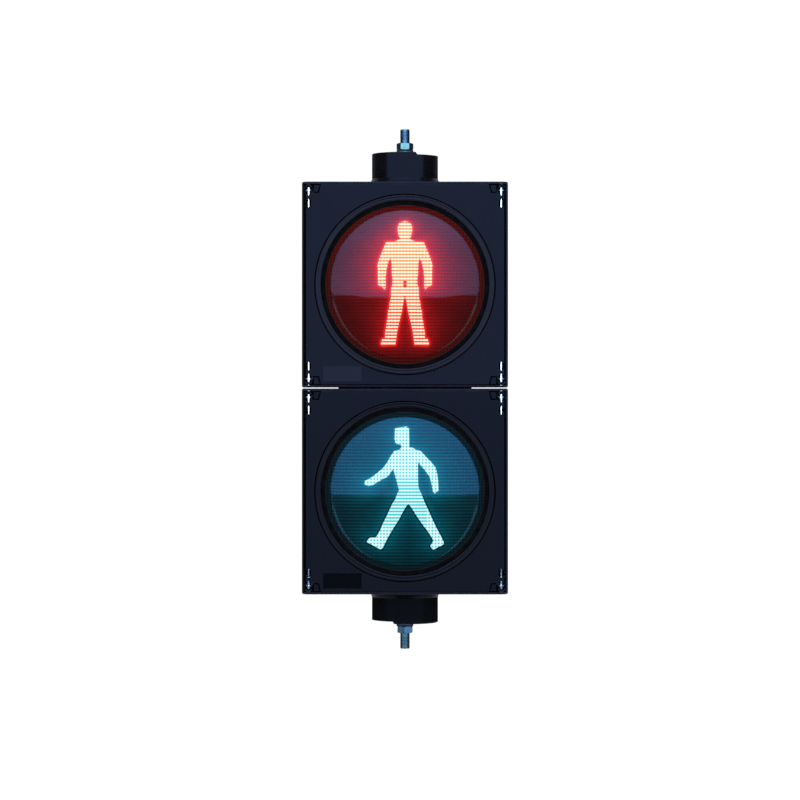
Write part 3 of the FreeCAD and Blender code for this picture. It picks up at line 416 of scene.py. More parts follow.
# ------------------------------------------------------------------
# mesh helpers
# ------------------------------------------------------------------
def make_object(name, verts, faces, *materials, material_index=None, smooth=True, sharp_deg=None):
    """Add a mesh object; edges steeper than `sharp_deg` stay sharp."""
    mesh = bpy.data.meshes.new(name)
    mesh.from_pydata([tuple(v) for v in verts], [], faces)
    mesh.validate(verbose=False)
    mesh.update()
    obj = bpy.data.objects.new(name, mesh)
    bpy.context.scene.collection.objects.link(obj)
    for material in materials:
        mesh.materials.append(material)
    if material_index is not None:
        mesh.polygons.foreach_set("material_index", np.array(material_index, np.int32))
    if smooth:
        mesh.shade_smooth()
    if sharp_deg is not None:
        mesh.set_sharp_from_angle(angle=math.radians(sharp_deg))
    return obj


def add_attribute(obj, name, values):
    """Store a value per vertex; vertices past the last value get 0."""
    padded = np.zeros(len(obj.data.vertices), np.float32)
    padded[:len(values)] = values
    obj.data.attributes.new(name, "FLOAT", "POINT").data.foreach_set("value", padded)


def lathe(profile, steps, centre_z):
    """Turn a closed loop of (radius, y) in mm about the Y axis through (0, centre_z)."""
    verts, faces = [], []
    count = len(profile)
    for i in range(steps):
        turn = 2 * math.pi * i / steps
        for radius, y in profile:
            radius = radius / 1000.0
            verts.append((radius * math.cos(turn), y / 1000.0,
                          centre_z + radius * math.sin(turn)))
    for i in range(steps):
        j = (i + 1) % steps
        for k in range(count):
            l = (k + 1) % count
            faces.append((i * count + k, i * count + l, j * count + l, j * count + k))
    return verts, faces


def tube_mesh(path, radius, sides):
    """A round tube with closed ends along a path."""
    path = [Vector(p) for p in path]
    count = len(path)
    verts, faces = [], []
    start_dir = (path[1] - path[0]).normalized()
    up = Vector((0, 0, 1)) if abs(start_dir.z) < 0.9 else Vector((1, 0, 0))
    across = start_dir.cross(up).normalized()
    for i in range(count):
        along = (path[min(i + 1, count - 1)] - path[max(i - 1, 0)]).normalized()
        across = (across - along * across.dot(along)).normalized()
        other = along.cross(across)
        for k in range(sides):
            turn = 2 * math.pi * k / sides
            verts.append(path[i] + (across * math.cos(turn) + other * math.sin(turn)) * radius)
    for i in range(count - 1):
        for k in range(sides):
            l = (k + 1) % sides
            faces.append((i * sides + k, i * sides + l, (i + 1) * sides + l, (i + 1) * sides + k))
    faces.append(tuple(range(sides))[::-1])
    faces.append(tuple((count - 1) * sides + k for k in range(sides)))
    return verts, faces


# ------------------------------------------------------------------
# figure outlines: (x, z) in mm from the lens centre
# ------------------------------------------------------------------
# right half of the standing figure, from the head down to the crotch
STAND_HALF = [
    (3.4, 77.1), (6.0, 75.5), (7.9, 72.9), (8.7, 69.6), (8.8, 65.6), (8.0, 60.8), (7.5, 57.8),
    (6.2, 56.0), (6.0, 54.4), (8.8, 53.5), (12.8, 52.1), (21.4, 51.5), (23.2, 50.4),
    (24.8, 46.6), (27.8, 39.1), (31.1, 31.1), (33.4, 22.9), (32.9, 18.6), (32.6, -0.5),
    (24.5, -6.1), (23.0, -4.1), (22.8, 10.0), (21.8, 18.6), (19.9, 26.5), (17.7, 31.0),
    (16.4, 25.2), (15.9, 12.0), (14.9, 5.4), (15.2, -0.5), (16.6, -4.3), (17.0, -16.1),
    (18.4, -21.7), (19.1, -28.5), (20.4, -32.6), (20.8, -40.3), (21.9, -44.4), (22.8, -52.1),
    (23.9, -57.1), (24.2, -64.6), (27.5, -66.1), (29.2, -71.7), (27.5, -73.9), (11.7, -72.9),
    (10.3, -63.3), (9.1, -55.9), (7.6, -48.4), (5.5, -40.3), (3.8, -32.9), (2.4, -24.8),
    (1.1, -18.6)]
HEAD_TOP, CROTCH = (0.0, 77.8), (0.0, -14.6)
HEAD_FROM, HEAD_SCALE = 64.0, 0.93      # the head is flattened above this height
STAND = [HEAD_TOP] + STAND_HALF + [CROTCH] + [(-x, z) for x, z in reversed(STAND_HALF)]
STAND = [(x, min(z, HEAD_FROM) + max(z - HEAD_FROM, 0.0) * HEAD_SCALE) for x, z in STAND]

WALK_POINTS = [
    (-12.2, 75.5), (-5.0, 77.3), (2.2, 78.2), (4.9, 75.3), (5.3, 59.8), (5.3, 52.4), (9.2, 52.1),
    (13.1, 49.7), (19.3, 47.8), (23.9, 42.7), (31.7, 34.6), (37.1, 27.6), (39.1, 19.5),
    (40.2, 10.9), (40.6, -0.3), (36.0, -4.6), (33.6, -1.5), (31.7, 7.8), (29.4, 17.1),
    (23.1, 25.7), (18.5, 30.7), (16.2, 33.4), (15.8, 31.1), (15.8, 15.6), (16.2, 4.7),
    (17.7, 0.0), (20.0, -4.7), (23.9, -14.8), (27.8, -23.3), (33.2, -35.7), (38.7, -47.3),
    (43.7, -56.7), (46.8, -63.6), (47.2, -66.4), (44.1, -68.3), (39.4, -70.6), (34.4, -73.7),
    (30.5, -69.1), (30.9, -67.9), (34.4, -62.1), (30.9, -55.9), (27.0, -49.7), (21.6, -42.7),
    (16.9, -35.7), (12.3, -28.7), (7.6, -21.0), (4.1, -16.7), (0.6, -21.0), (-3.2, -27.9),
    (-7.1, -35.7), (-11.0, -41.9), (-17.2, -52.0), (-22.6, -62.1), (-26.5, -70.6),
    (-29.2, -73.0), (-35.1, -70.2), (-39.7, -67.5), (-45.9, -64.4), (-45.9, -61.3),
    (-42.0, -58.6), (-35.1, -57.8), (-30.0, -48.9), (-26.5, -40.4), (-21.9, -31.1),
    (-18.4, -23.3), (-15.3, -16.3), (-12.2, -11.6), (-9.4, -4.3), (-7.1, 0.0), (-8.3, 4.6),
    (-10.2, 11.7), (-12.9, 21.0), (-14.1, 25.7), (-16.0, 23.3), (-20.3, 17.1), (-27.3, 13.3),
    (-32.0, 10.5), (-38.9, 6.3), (-44.0, 5.1), (-48.3, 6.7), (-49.4, 9.4), (-47.9, 11.7),
    (-41.3, 15.2), (-35.8, 19.5), (-26.5, 27.2), (-21.5, 34.2), (-17.2, 42.0), (-13.3, 47.8),
    (-7.1, 49.7), (-4.4, 52.1), (-4.9, 55.6), (-11.0, 56.7), (-12.6, 62.1)]
WALK_SCALE, WALK_RISE = 0.986, 1.85     # fits the walking figure's height to its lens
WALK = [(x, z * WALK_SCALE + WALK_RISE) for x, z in WALK_POINTS]

OUTLINE = {"lower": WALK, "upper": STAND}


def inside(outline, x, z):
    points = np.array(outline)
    result = np.zeros(x.shape, bool)
    for i in range(len(points)):
        x1, z1 = points[i]
        x2, z2 = points[(i + 1) % len(points)]
        if z1 == z2:
            continue
        result ^= ((z1 > z) != (z2 > z)) & (x < (x2 - x1) * (z - z1) / (z2 - z1) + x1)
    return result


def distance(outline, x, z):
    points = np.array(outline)
    nearest = np.full(x.shape, 1e9)
    for i in range(len(points)):
        a, b = points[i], points[(i + 1) % len(points)]
        ab = b - a
        t = np.clip(((x - a[0]) * ab[0] + (z - a[1]) * ab[1]) / (ab @ ab), 0, 1)
        nearest = np.minimum(nearest, np.hypot(x - a[0] - t * ab[0], z - a[1] - t * ab[1]))
    return nearest


def clip_to_cell(outline, x0, x1, z0, z1):
    """The outline clipped by each side of a cell in turn."""
    result = list(outline)
    for axis, limit, keep_low in ((0, x0, False), (0, x1, True), (1, z0, False), (1, z1, True)):
        source, result = result, []
        for i in range(len(source)):
            a, b = source[i - 1], source[i]
            a_in = (a[axis] <= limit) if keep_low else (a[axis] >= limit)
            b_in = (b[axis] <= limit) if keep_low else (b[axis] >= limit)
            if a_in != b_in:
                t = (limit - a[axis]) / (b[axis] - a[axis])
                result.append((a[0] + t * (b[0] - a[0]), a[1] + t * (b[1] - a[1])))
            if b_in:
                result.append(b)
    return result


# ------------------------------------------------------------------
# lens shape, mm: a clear dome in front of a sheet of small pillow lenses
# ------------------------------------------------------------------
PITCH = 3.9                                     # of the pillows, both ways
ROW_SHIFT = {"upper": 0.85, "lower": -0.35}     # a gap between rows over the lens centre
HALO_WIDTH = {"upper": 2.1, "lower": 1.9}       # of the halo round the figure
PILLOW_R = 6.2                                  # radius of a pillow's curve
DOME_R = 90.3
DOME_SAG = 16.0
SPHERE_R = (DOME_R ** 2 + DOME_SAG ** 2) / (2 * DOME_SAG)
LENS_T = 2.5
SHEET_OFFSET = LENS_T + 0.55                    # sheet's middle surface behind the apex
VALLEY_DEPTH = 0.55                             # pillow valleys behind the middle surface
SHEET_BACK = 0.9                                # back of the sheet behind the middle surface
SHEET_R = DOME_R - 0.5
SHEET_STEPS = 6                                 # mesh cells per pillow in the sheet
FIGURE_STEPS = 5                                # mesh cells per pillow in the figure
FIGURE_LIFT = 0.12                              # figure in front of the sheet
DOME_STEPS = 26                                 # from the centre to the dome's edge
AXIS_R = 0.02                                   # least radius at the dome's centre

# (radius, y behind the dome's edge): round the flange, from the front skin to the back one
FLANGE_PROFILE = [
    (DOME_R + 0.25, 0.25), (95.5, 0.25), (96.0, 0.6), (96.0, 1.6), (103.8, 1.6),
    (103.8, 4.0), (96.0, 4.0), (95.0, 4.0), (95.0, 1.9), (DOME_R - 2.0, 1.9)]
# (radius, y behind the dome's edge): the raised line round the border
RIM_LINE_PROFILE = [(95.75, 0.15), (96.45, 0.15), (96.45, 1.7), (95.75, 1.7)]


def dome_depth(r, sphere_r=SPHERE_R):
    """Depth behind the apex."""
    return sphere_r - np.sqrt(np.maximum(sphere_r * sphere_r - r * r, 0.0))


def pillow(x, z):
    """Height of the pillow lenses above their deepest corners."""
    across = np.abs((x / PITCH) % 1.0 - 0.5) * PITCH
    up = np.abs((z / PITCH) % 1.0 - 0.5) * PITCH
    corner = math.sqrt(PILLOW_R * PILLOW_R - 2 * (PITCH / 2) ** 2)
    return np.sqrt(PILLOW_R * PILLOW_R - across * across - up * up) - corner


def sheet_y(x, z, apex):
    depth = dome_depth(np.hypot(x, z))
    return apex + SHEET_OFFSET + depth - pillow(x, z) + VALLEY_DEPTH


# ------------------------------------------------------------------
# lens materials
# ------------------------------------------------------------------
ROWS_PER_M = 2 * math.pi / (PITCH / 1000.0)     # pillow waves, in radians per metre
ROW_BAND = (-0.7, 0.9)                          # part of the row wave a tone change takes


def wave(m, position):
    """A cosine with a crest in every gap between pillows."""
    return m.math("COSINE", m.times(position, ROWS_PER_M))


# base: own colour; ambient, near: painted glow far from and near the figure
# rows: strength on the pillows and in the gaps between rows, painted light and shade; low:
# strength in the lower half, darkened as a painted reflection
SHEET_LOOK = {
    "upper": dict(base=(0.045, 0.004, 0.004), ambient=(0.040, 0.0035, 0.0030),
                  near=(0.82, 0.012, 0.018), specular=0.10, rows=(1.10, 0.70), low=0.66),
    "lower": dict(base=(0.0010, 0.009, 0.012), ambient=(0.0036, 0.0190, 0.0262),
                  near=(0.0, 0.165, 0.225), specular=0.12, rows=(1.18, 0.46), low=0.76),
}


def sheet_material(section):
    look = SHEET_LOOK[section]
    m = new_material(KIND[section] + "_lens_sheet")
    glow, valley, row, halo = [m.attribute(a) for a in ("glow", "valley", "row", "halo")]
    patches = m.noise(m.coords(), scale=45.0, detail=3.0)
    light = m.mix(glow, look["ambient"], look["near"])
    strength = m.ramp(valley, over=(0.0, 1.0), to=(1.08, 0.84), smooth=False)
    # painted reflection: the pillows are brighter and the gaps between rows darker, for the sky
    # that the pillows reflect
    strength = m.times(strength, m.ramp(row, over=ROW_BAND, to=look["rows"]))
    strength = m.times(strength, m.ramp(patches, to=(0.94, 1.06)))
    # painted reflection: the lower half of the sheet is darker, below the horizon that the lens
    # reflects
    height = m.height_over(LENS_Z[section])
    strength = m.times(strength, m.ramp(height, over=(-0.022, -0.006), to=(look["low"], 1.0)))
    if section == "upper":
        # painted glow: a bright thin halo round the figure
        halo_color, halo_strength = (1.0, 0.030, 0.022), 1.05
        light = m.mix(halo, light, halo_color)
        strength = m.mix_value(halo, strength, halo_strength)
    else:
        # a dark outline round the legs, and a faint painted glow round the rest
        glow_color, glow_amount = (0.0, 0.30, 0.38), 0.4
        above = m.ramp(m.height_over(LENS_Z[section]), over=(-0.012, 0.002))
        outline = m.mix_value(above, m.ramp(halo, over=(0.15, 0.8), to=(1.0, 0.12)),
                              m.ramp(halo, over=(0.15, 0.8), to=(1.0, 0.80)))
        strength = m.times(strength, outline)
        light = m.mix(m.times(m.times(halo, above), glow_amount), light, glow_color)
    return m.principled(Base_Color=m.mottle(patches, look["base"], low=0.8),
                        Roughness=m.ramp(patches, to=(0.10, 0.16)),
                        Specular_IOR_Level=look["specular"],
                        Emission_Color=light, Emission_Strength=strength)


# hot: the pillows; fringe: the outline
# strength: on the pillows and in the gaps; rim, rim_amount: the outline's reach in mm, its mix
FIGURE_LOOK = {
    "upper": dict(hot=(1.0, 0.97, 0.74), fringe=(1.0, 0.055, 0.035), strength=(1.34, 1.12),
                  rim=(-0.45, 0.5), rim_amount=(1.0, 0.0)),
    "lower": dict(hot=(0.92, 1.0, 1.0), fringe=(0.0, 0.72, 0.85), strength=(1.16, 1.04),
                  rim=(-0.4, 0.45), rim_amount=(0.9, 0.0)),
}


def figure_material(section):
    """Rows of light with coloured dots where gaps between rows meet the columns."""
    look = FIGURE_LOOK[section]
    m = new_material(KIND[section] + "_figure_light")
    cell_x, cell_z, edge = [m.attribute(a) for a in ("cell_x", "cell_z", "edge")]
    column_wave = m.math("COSINE", m.times(cell_x, 2 * math.pi))
    row_wave = m.math("COSINE", m.times(cell_z, 2 * math.pi))
    z_mm = m.plus(m.times(cell_z, PITCH), ROW_SHIFT[section])
    x_mm = m.times(cell_x, PITCH)
    # 1 where a gap between rows meets the middle of a column, falling away round it
    crossing = m.times(m.minus(row_wave, column_wave), 0.5)
    # the outline is scalloped: it draws in at the gaps between rows
    scalloped = m.minus(edge, m.ramp(row_wave, over=(0.1, 0.95), to=(0.0, 0.9)))
    if section == "upper":
        # the gaps turn from yellow to red towards the feet, the dots deeper than the rest
        gap_top, gap_foot = (1.0, 0.60, 0.03), (1.0, 0.075, 0.0)
        dot_top, dot_foot = (1.0, 0.22, 0.0), (1.0, 0.015, 0.0)
        low = m.ramp(z_mm, over=(30.0, -62.0))
        dots = m.ramp(crossing, over=(0.02, 0.60))
        rows = m.ramp(row_wave, over=(-0.25, 0.55))
        warm = m.mix(dots, m.mix(low, gap_top, gap_foot), m.mix(low, dot_top, dot_foot))
    else:
        # the gaps show most between hips and knees, near the middle
        warm = (0.0, 0.68, 0.72)
        band = m.times(m.ramp(z_mm, over=(-52.0, -34.0)), m.ramp(z_mm, over=(26.0, 6.0)))
        band = m.times(band, m.ramp(m.size(x_mm), over=(32.0, 22.0)))
        dots = m.ramp(crossing, over=(0.10, 0.55))
        rows = m.times(m.ramp(row_wave, over=(-0.25, 0.50)),
                       m.ramp(band, over=(0.0, 1.0), to=(0.08, 1.0)))
    gap = m.math("MAXIMUM", dots, rows)
    rim = m.ramp(scalloped, over=look["rim"], to=look["rim_amount"])
    color = m.mix(rim, m.mix(gap, look["hot"], warm), look["fringe"])
    strength = m.ramp(gap, over=(0.0, 1.0), to=look["strength"], smooth=False)
    strength = m.times(strength, m.ramp(rim, over=(0.0, 1.0), to=(1.0, 0.85), smooth=False))
    if section == "upper":
        # the small gate mark of the moulding, at the lens centre
        half_gap = 2.1      # mm, from the centre up and down to the two marks
        ring_color, mark_color, mark_strength = (1.0, 0.42, 0.14), (1.0, 0.0, 0.0), 0.90
        dz = m.minus(m.size(z_mm), half_gap)
        radius = m.math("SQRT", m.plus(m.times(x_mm, x_mm), m.times(dz, dz)))
        mark = m.ramp(radius, over=(2.4, 1.7))
        color = m.mix(m.ramp(radius, over=(3.2, 2.4)), color, ring_color)
        color = m.mix(mark, color, mark_color)
        strength = m.mix_value(mark, strength, mark_strength)
    return m.principled(Base_Color=(0.02, 0.02, 0.02), Roughness=0.2,
                        Emission_Color=color, Emission_Strength=strength)


# rows: reflection on the pillows and in the gaps; gain: of the reflection near the top
# tilt: (range of x either side, z added to the normal over that range)
GLASS_LOOK = {
    "upper": dict(tint=(0.96, 0.90, 0.91), tilt=((0.042, 0.070), (0.0064, -0.0050)),
                  rows=((1.05, 0.95, 0.92), (0.82, 0.98, 1.05)), gain=1.55),
    "lower": dict(tint=(0.90, 0.96, 0.97), tilt=((0.0, 0.1), (-0.0038, -0.0038)),
                  rows=((0.38, 1.62, 1.78), (0.45, 1.22, 1.50)), gain=1.35),
}
GLASS_IOR = 1.58


def glass_material(section):
    look = GLASS_LOOK[section]
    centre_z = LENS_Z[section]
    m = new_material(KIND[section] + "_lens_glass")
    patches = m.noise(m.coords(), scale=30.0, detail=3.0)
    # each dome sits a hair off true in its seat, which moves the horizon it shows
    geometry = m.add("ShaderNodeNewGeometry")
    x_over, tilt_range = look["tilt"]
    tilt = m.ramp(m.size(m.split(m.coords())["X"]), over=x_over, to=tilt_range)
    tilt_vector = m.add("ShaderNodeCombineXYZ", {"Z": tilt}).outputs[0]
    normal = m.vector_math("ADD", geometry.outputs["Normal"], tilt_vector)
    normal = m.vector_math("NORMALIZE", normal)
    # painted reflection: the glass's reflection is tinted in rows, for light from outside that the
    # rows of small lenses behind send back
    place = m.split(m.coords())
    row_wave = wave(m, m.minus(place["Z"], centre_z + ROW_SHIFT[section] / 1000.0))
    color = m.mix(m.ramp(row_wave, over=ROW_BAND), *look["rows"])
    if section == "lower":
        # painted highlights: bright glints in the middle of the pillows, towards both sides
        painted_glint_color = (0.65, 2.3, 2.25)
        column_wave = wave(m, place["X"])
        side = m.ramp(m.size(place["X"]), over=(0.030, 0.075))
        spots = m.ramp(m.plus(row_wave, column_wave), over=(-0.6, -1.7))
        color = m.mix(m.times(spots, side), color, painted_glint_color)
    # painted reflection: stronger towards the top of the dome
    boosted = m.mix(1.0, color, (look["gain"],) * 3, blend="MULTIPLY")
    top = m.ramp(m.minus(place["Z"], centre_z), over=(0.030, 0.088))
    color = m.mix(top, color, boosted)
    clear = m.add("ShaderNodeBsdfTransparent", {"Color": look["tint"]})
    glossy = m.add("ShaderNodeBsdfGlossy", {
        "Normal": normal, "Color": color, "Roughness": m.ramp(patches, to=(0.02, 0.035))})
    # the inner skin reflects like the outer one, without shutting off slanted views
    outer = m.add("ShaderNodeFresnel", {"IOR": GLASS_IOR})
    inner = m.add("ShaderNodeFresnel", {"IOR": 1.0 / GLASS_IOR})
    amount = m.mix_value(geometry.outputs["Backfacing"], outer.outputs[0], inner.outputs[0])
    return m.finish(m.add("ShaderNodeMixShader", {
        0: amount, 1: clear.outputs[0], 2: glossy.outputs[0]}))


# painted light of the border: ground: between the dots; dots: on them; top: gain towards the top,
# a painted sky reflection
RIM_LOOK = {
    "upper": dict(ground=(0.068, 0.0040, 0.0024), dots=(0.018, 0.0026, 0.0018),
                  top=(1.9, 1.1, 1.0)),
    "lower": dict(ground=(0.0030, 0.0150, 0.0210), dots=(0.0016, 0.0036, 0.0046),
                  top=(1.0, 1.6, 1.8)),
}


def rim_material(section):
    """The stippled border of the lens, which no LED lights; its emission is painted light,
    brighter towards the top as a painted reflection.
    """
    look = RIM_LOOK[section]
    m = new_material(KIND[section] + "_lens_rim")
    coords = m.coords()
    patches = m.noise(coords, scale=60.0, detail=3.0)
    stipple = m.add("ShaderNodeTexVoronoi", {"Vector": coords, "Scale": 520.0}, feature="F1")
    place = m.split(coords)
    row_wave = wave(m, m.minus(place["Z"], LENS_Z[section]))
    dots = m.ramp(m.plus(row_wave, wave(m, place["X"])), over=(-1.5, 0.6))
    top = m.ramp(m.minus(place["Z"], LENS_Z[section]), over=(-0.02, 0.09))
    light = m.mix(dots, look["ground"], look["dots"])
    light = m.mix(top, light, m.mix(1.0, light, look["top"], blend="MULTIPLY"))
    relief = m.bump(stipple.outputs["Distance"], strength=0.3, distance=0.0004)
    return m.principled(Base_Color=scaled(look["ground"], 0.3),
                        Roughness=m.ramp(patches, to=(0.55, 0.7)), Specular_IOR_Level=0.06,
                        Normal=relief, Emission_Color=light, Emission_Strength=0.85)


# painted highlight: the raised line round the lens border glows as a thin light line
RIM_LINE_HIGHLIGHT = {"upper": (0.034, 0.0130, 0.0145), "lower": (0.0090, 0.0180, 0.0250)}


def rim_line_material(section):
    m = new_material(KIND[section] + "_lens_rim_line")
    patches = m.noise(m.coords(), scale=90.0, detail=3.0)
    color = RIM_LINE_HIGHLIGHT[section]
    return m.principled(Base_Color=m.mottle(patches, color, low=0.7), Roughness=0.35,
                        Specular_IOR_Level=0.3,
                        Emission_Color=m.mottle(patches, color, low=0.6), Emission_Strength=0.8)


# ------------------------------------------------------------------
# lens pieces
# ------------------------------------------------------------------
def lens_dome(section):
    """Clear moulding: dome, border and flange as one closed shell."""
    apex = LENS_APEX[section]
    profile = []
    for i in range(DOME_STEPS + 1):
        r = DOME_R * i / DOME_STEPS
        profile.append((max(r, AXIS_R), apex + dome_depth(r)))
    profile += [(r, apex + DOME_SAG + y) for r, y in FLANGE_PROFILE]
    for i in range(DOME_STEPS, -1, -1):
        r = (DOME_R - LENS_T) * i / DOME_STEPS
        profile.append((max(r, AXIS_R), apex + LENS_T + dome_depth(r, SPHERE_R - LENS_T)))
    verts, faces = lathe(profile, LATHE_STEPS, LENS_Z[section])
    # glass (0) for the dome, stippled border (1) from its edge round to the flange's inside
    border = range(DOME_STEPS, DOME_STEPS + len(FLANGE_PROFILE) - 1)
    index = [int(k in border) for k in range(len(profile))] * LATHE_STEPS
    dome = make_object(section + "_lens_dome", verts, faces, glass_material(section),
                       rim_material(section), material_index=index, sharp_deg=35)
    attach(dome, section + "_leaf")
    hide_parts(section + "_lens")


def boundary_edges(quads):
    """Edges that only one quad uses, in that quad's direction."""
    edges = {}
    for quad in quads:
        for k in range(4):
            a, b = quad[k], quad[(k + 1) % 4]
            if (b, a) in edges:
                del edges[(b, a)]
            else:
                edges[(a, b)] = True
    return edges


def lens_sheet(section):
    """Sheet of pillow lenses, closed by a smooth back."""
    apex, centre_z = LENS_APEX[section], LENS_Z[section]
    step = PITCH / SHEET_STEPS
    reach = int(SHEET_R / step) + 1
    ticks = np.arange(-reach, reach + 1) * step
    grid_x, grid_z = np.meshgrid(ticks, ticks, indexing="ij")
    radius = np.hypot(grid_x, grid_z)
    within = radius < SHEET_R
    cells = within[:-1, :-1] & within[1:, :-1] & within[:-1, 1:] & within[1:, 1:]
    cell_count = np.zeros_like(radius, int)     # cells that meet at each grid point
    for i in (0, 1):
        for j in (0, 1):
            cell_count[i:i + cells.shape[0], j:j + cells.shape[1]] += cells
    used = cell_count > 0
    # pull the outer vertices onto the rim circle
    pull = np.where(used & (cell_count < 4), SHEET_R / np.maximum(radius, 1e-6), 1.0)
    x, z = (grid_x * pull)[used], (grid_z * pull)[used]
    r = np.hypot(x, z)
    front = np.stack([x / 1000.0, sheet_y(x, z, apex) / 1000.0, centre_z + z / 1000.0], 1)
    back = front.copy()
    back[:, 1] = (apex + SHEET_OFFSET + dome_depth(r) + SHEET_BACK) / 1000.0

    index = -np.ones_like(radius, int)
    index[used] = np.arange(used.sum())
    i, j = np.nonzero(cells)
    quads = np.stack([index[i, j], index[i, j + 1], index[i + 1, j + 1], index[i + 1, j]],
                     1).tolist()
    count = len(front)
    faces = [tuple(quad) for quad in quads]
    faces += [tuple(v + count for v in quad[::-1]) for quad in quads]
    faces += [(b, a, a + count, b + count) for a, b in boundary_edges(quads)]
    sheet = make_object(section + "_lens_sheet", np.concatenate([front, back]), faces,
                        sheet_material(section), sharp_deg=60)

    # distance from the figure, and its painted glow: a near and a far part, fading towards the
    # edge
    outline = OUTLINE[section]
    d = np.where(inside(outline, x, z), 0.0, distance(outline, x, z))
    glow = np.exp(-d / 8.0) * 0.58 + np.exp(-d / 25.0) * 0.42
    fade_from, fade_width, fade_amount = 62.0, 26.0, 0.62
    fade = np.clip((r - fade_from) / fade_width, 0.0, 1.0)
    add_attribute(sheet, "glow", glow * (1.0 - fade_amount * fade * fade * (3 - 2 * fade)))
    add_attribute(sheet, "valley", 1.0 - pillow(x, z) / pillow(PITCH / 2, PITCH / 2))
    add_attribute(sheet, "row", np.cos(2 * np.pi * (z - ROW_SHIFT[section]) / PITCH))
    add_attribute(sheet, "halo", np.exp(-(d / HALO_WIDTH[section]) ** 2))
    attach(sheet, section + "_leaf")


def lens_rim_line(section):
    edge_y = LENS_APEX[section] + DOME_SAG
    profile = [(r, edge_y + y) for r, y in RIM_LINE_PROFILE]
    verts, faces = lathe(profile, 144, LENS_Z[section])
    line = make_object(section + "_lens_rim_line", verts, faces, rim_line_material(section),
                       sharp_deg=35)
    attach(line, section + "_leaf")


def signed_area(points, ids):
    total = 0.0
    for i in range(len(ids)):
        x1, z1 = points[ids[i - 1]]
        x2, z2 = points[ids[i]]
        total += x1 * z2 - x2 * z1
    return total


def figure_cells(outline):
    """The outline cut into grid cells: points (x, z) in mm, and faces that look to the front."""
    step = PITCH / FIGURE_STEPS
    ticks = [np.arange(math.floor(min(values) / step), math.ceil(max(values) / step) + 1) * step
             for values in zip(*outline)]
    xs, zs = ticks
    grid_x, grid_z = np.meshgrid(xs, zs, indexing="ij")
    nudge = 1e-5        # keeps grid points off the outline's corners
    within = inside(outline, grid_x + nudge, grid_z + nudge)
    near = distance(outline, grid_x, grid_z) < 1.6 * step
    index, points, faces = {}, [], []
    for i in range(len(xs) - 1):
        for j in range(len(zs) - 1):
            if not (near[i, j] or within[i:i + 2, j:j + 2].any()):
                continue
            ids = []
            for x, z in clip_to_cell(outline, xs[i], xs[i + 1], zs[j], zs[j + 1]):
                key = (round(x, 3), round(z, 3))
                if key not in index:
                    index[key] = len(points)
                    points.append(key)
                if not ids or ids[-1] != index[key]:
                    ids.append(index[key])
            if len(ids) > 1 and ids[0] == ids[-1]:
                ids.pop()
            if len(ids) >= 3 and len(set(ids)) == len(ids):
                faces.append(tuple(ids[::-1] if signed_area(points, ids) > 0 else ids))
    return points, faces


def lens_figure(section):
    """Lit figure, cut from the pillow surface and set just in front of it."""
    outline = OUTLINE[section]
    points, faces = figure_cells(outline)
    x, z = np.array(points).T
    y = sheet_y(x, z, LENS_APEX[section]) - FIGURE_LIFT
    verts = np.stack([x / 1000.0, y / 1000.0, LENS_Z[section] + z / 1000.0], 1)
    figure = make_object(section + "_figure_light", verts, faces, figure_material(section))
    add_attribute(figure, "cell_x", x / PITCH)
    add_attribute(figure, "cell_z", (z - ROW_SHIFT[section]) / PITCH)
    add_attribute(figure, "edge", distance(outline, x, z))
    thick = figure.modifiers.new("thick", "SOLIDIFY")
    thick.thickness = 0.0001
    thick.offset = -1
    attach(figure, section + "_leaf")


for section in SECTIONS:
    lens_dome(section)
    lens_sheet(section)
    lens_rim_line(section)
    lens_figure(section)


# ------------------------------------------------------------------
# threaded rod
# ------------------------------------------------------------------
THREAD_PITCH = 0.00175
THREAD_DEPTH = 0.00040
THREAD_STEPS = 30           # per turn
# (share of the pitch, share of the depth)
THREAD_PROFILE = [(0.0, 0.0), (0.42, 1.0), (0.50, 1.0), (0.92, 0.0)]
ROD_CHAMFER = 0.0012        # length of the taper at each end
END_DROP = 0.0002           # end faces below the thread's root


def threaded_rod():
    lo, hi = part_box("tie_rod")
    outer_r = (hi.x - lo.x) / 2
    end_r = outer_r - THREAD_DEPTH - END_DROP
    steps = int((hi.z - lo.z) / THREAD_PITCH * THREAD_STEPS) + THREAD_STEPS
    verts, faces = [], []
    for i in range(steps + 1):
        turn = 2 * math.pi * i / THREAD_STEPS
        for along, depth in THREAD_PROFILE:
            z = lo.z + THREAD_PITCH * (turn / (2 * math.pi) + along) - THREAD_PITCH
            z = min(max(z, lo.z), hi.z)
            from_end = min(z - lo.z, hi.z - z)
            taper = min(from_end, ROD_CHAMFER) / ROD_CHAMFER * (THREAD_DEPTH + END_DROP)
            r = min(outer_r - depth * THREAD_DEPTH, end_r + taper)
            verts.append((r * math.cos(turn), r * math.sin(turn), z))
    count = len(THREAD_PROFILE)
    for i in range(steps):
        for k in range(count):
            a, b = i * count + k, (i + 1) * count + k
            if k < count - 1:
                faces.append((a, b, b + 1, a + 1))
            elif i + THREAD_STEPS + 1 <= steps:
                # the profile's end meets its start one turn further on
                faces.append((a, b, (i + THREAD_STEPS + 1) * count, (i + THREAD_STEPS) * count))
    base = len(verts)
    for z in (lo.z, hi.z):
        for i in range(THREAD_STEPS):
            turn = 2 * math.pi * i / THREAD_STEPS
            verts.append((end_r * math.cos(turn), end_r * math.sin(turn), z))
    faces.append(tuple(base + i for i in range(THREAD_STEPS))[::-1])
    faces.append(tuple(base + THREAD_STEPS + i for i in range(THREAD_STEPS)))
    rod = make_object("threaded_rod", verts, faces, MAT["zinc_rod"], sharp_deg=28)
    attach(rod, "mount")
    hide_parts("tie_rod")


threaded_rod()


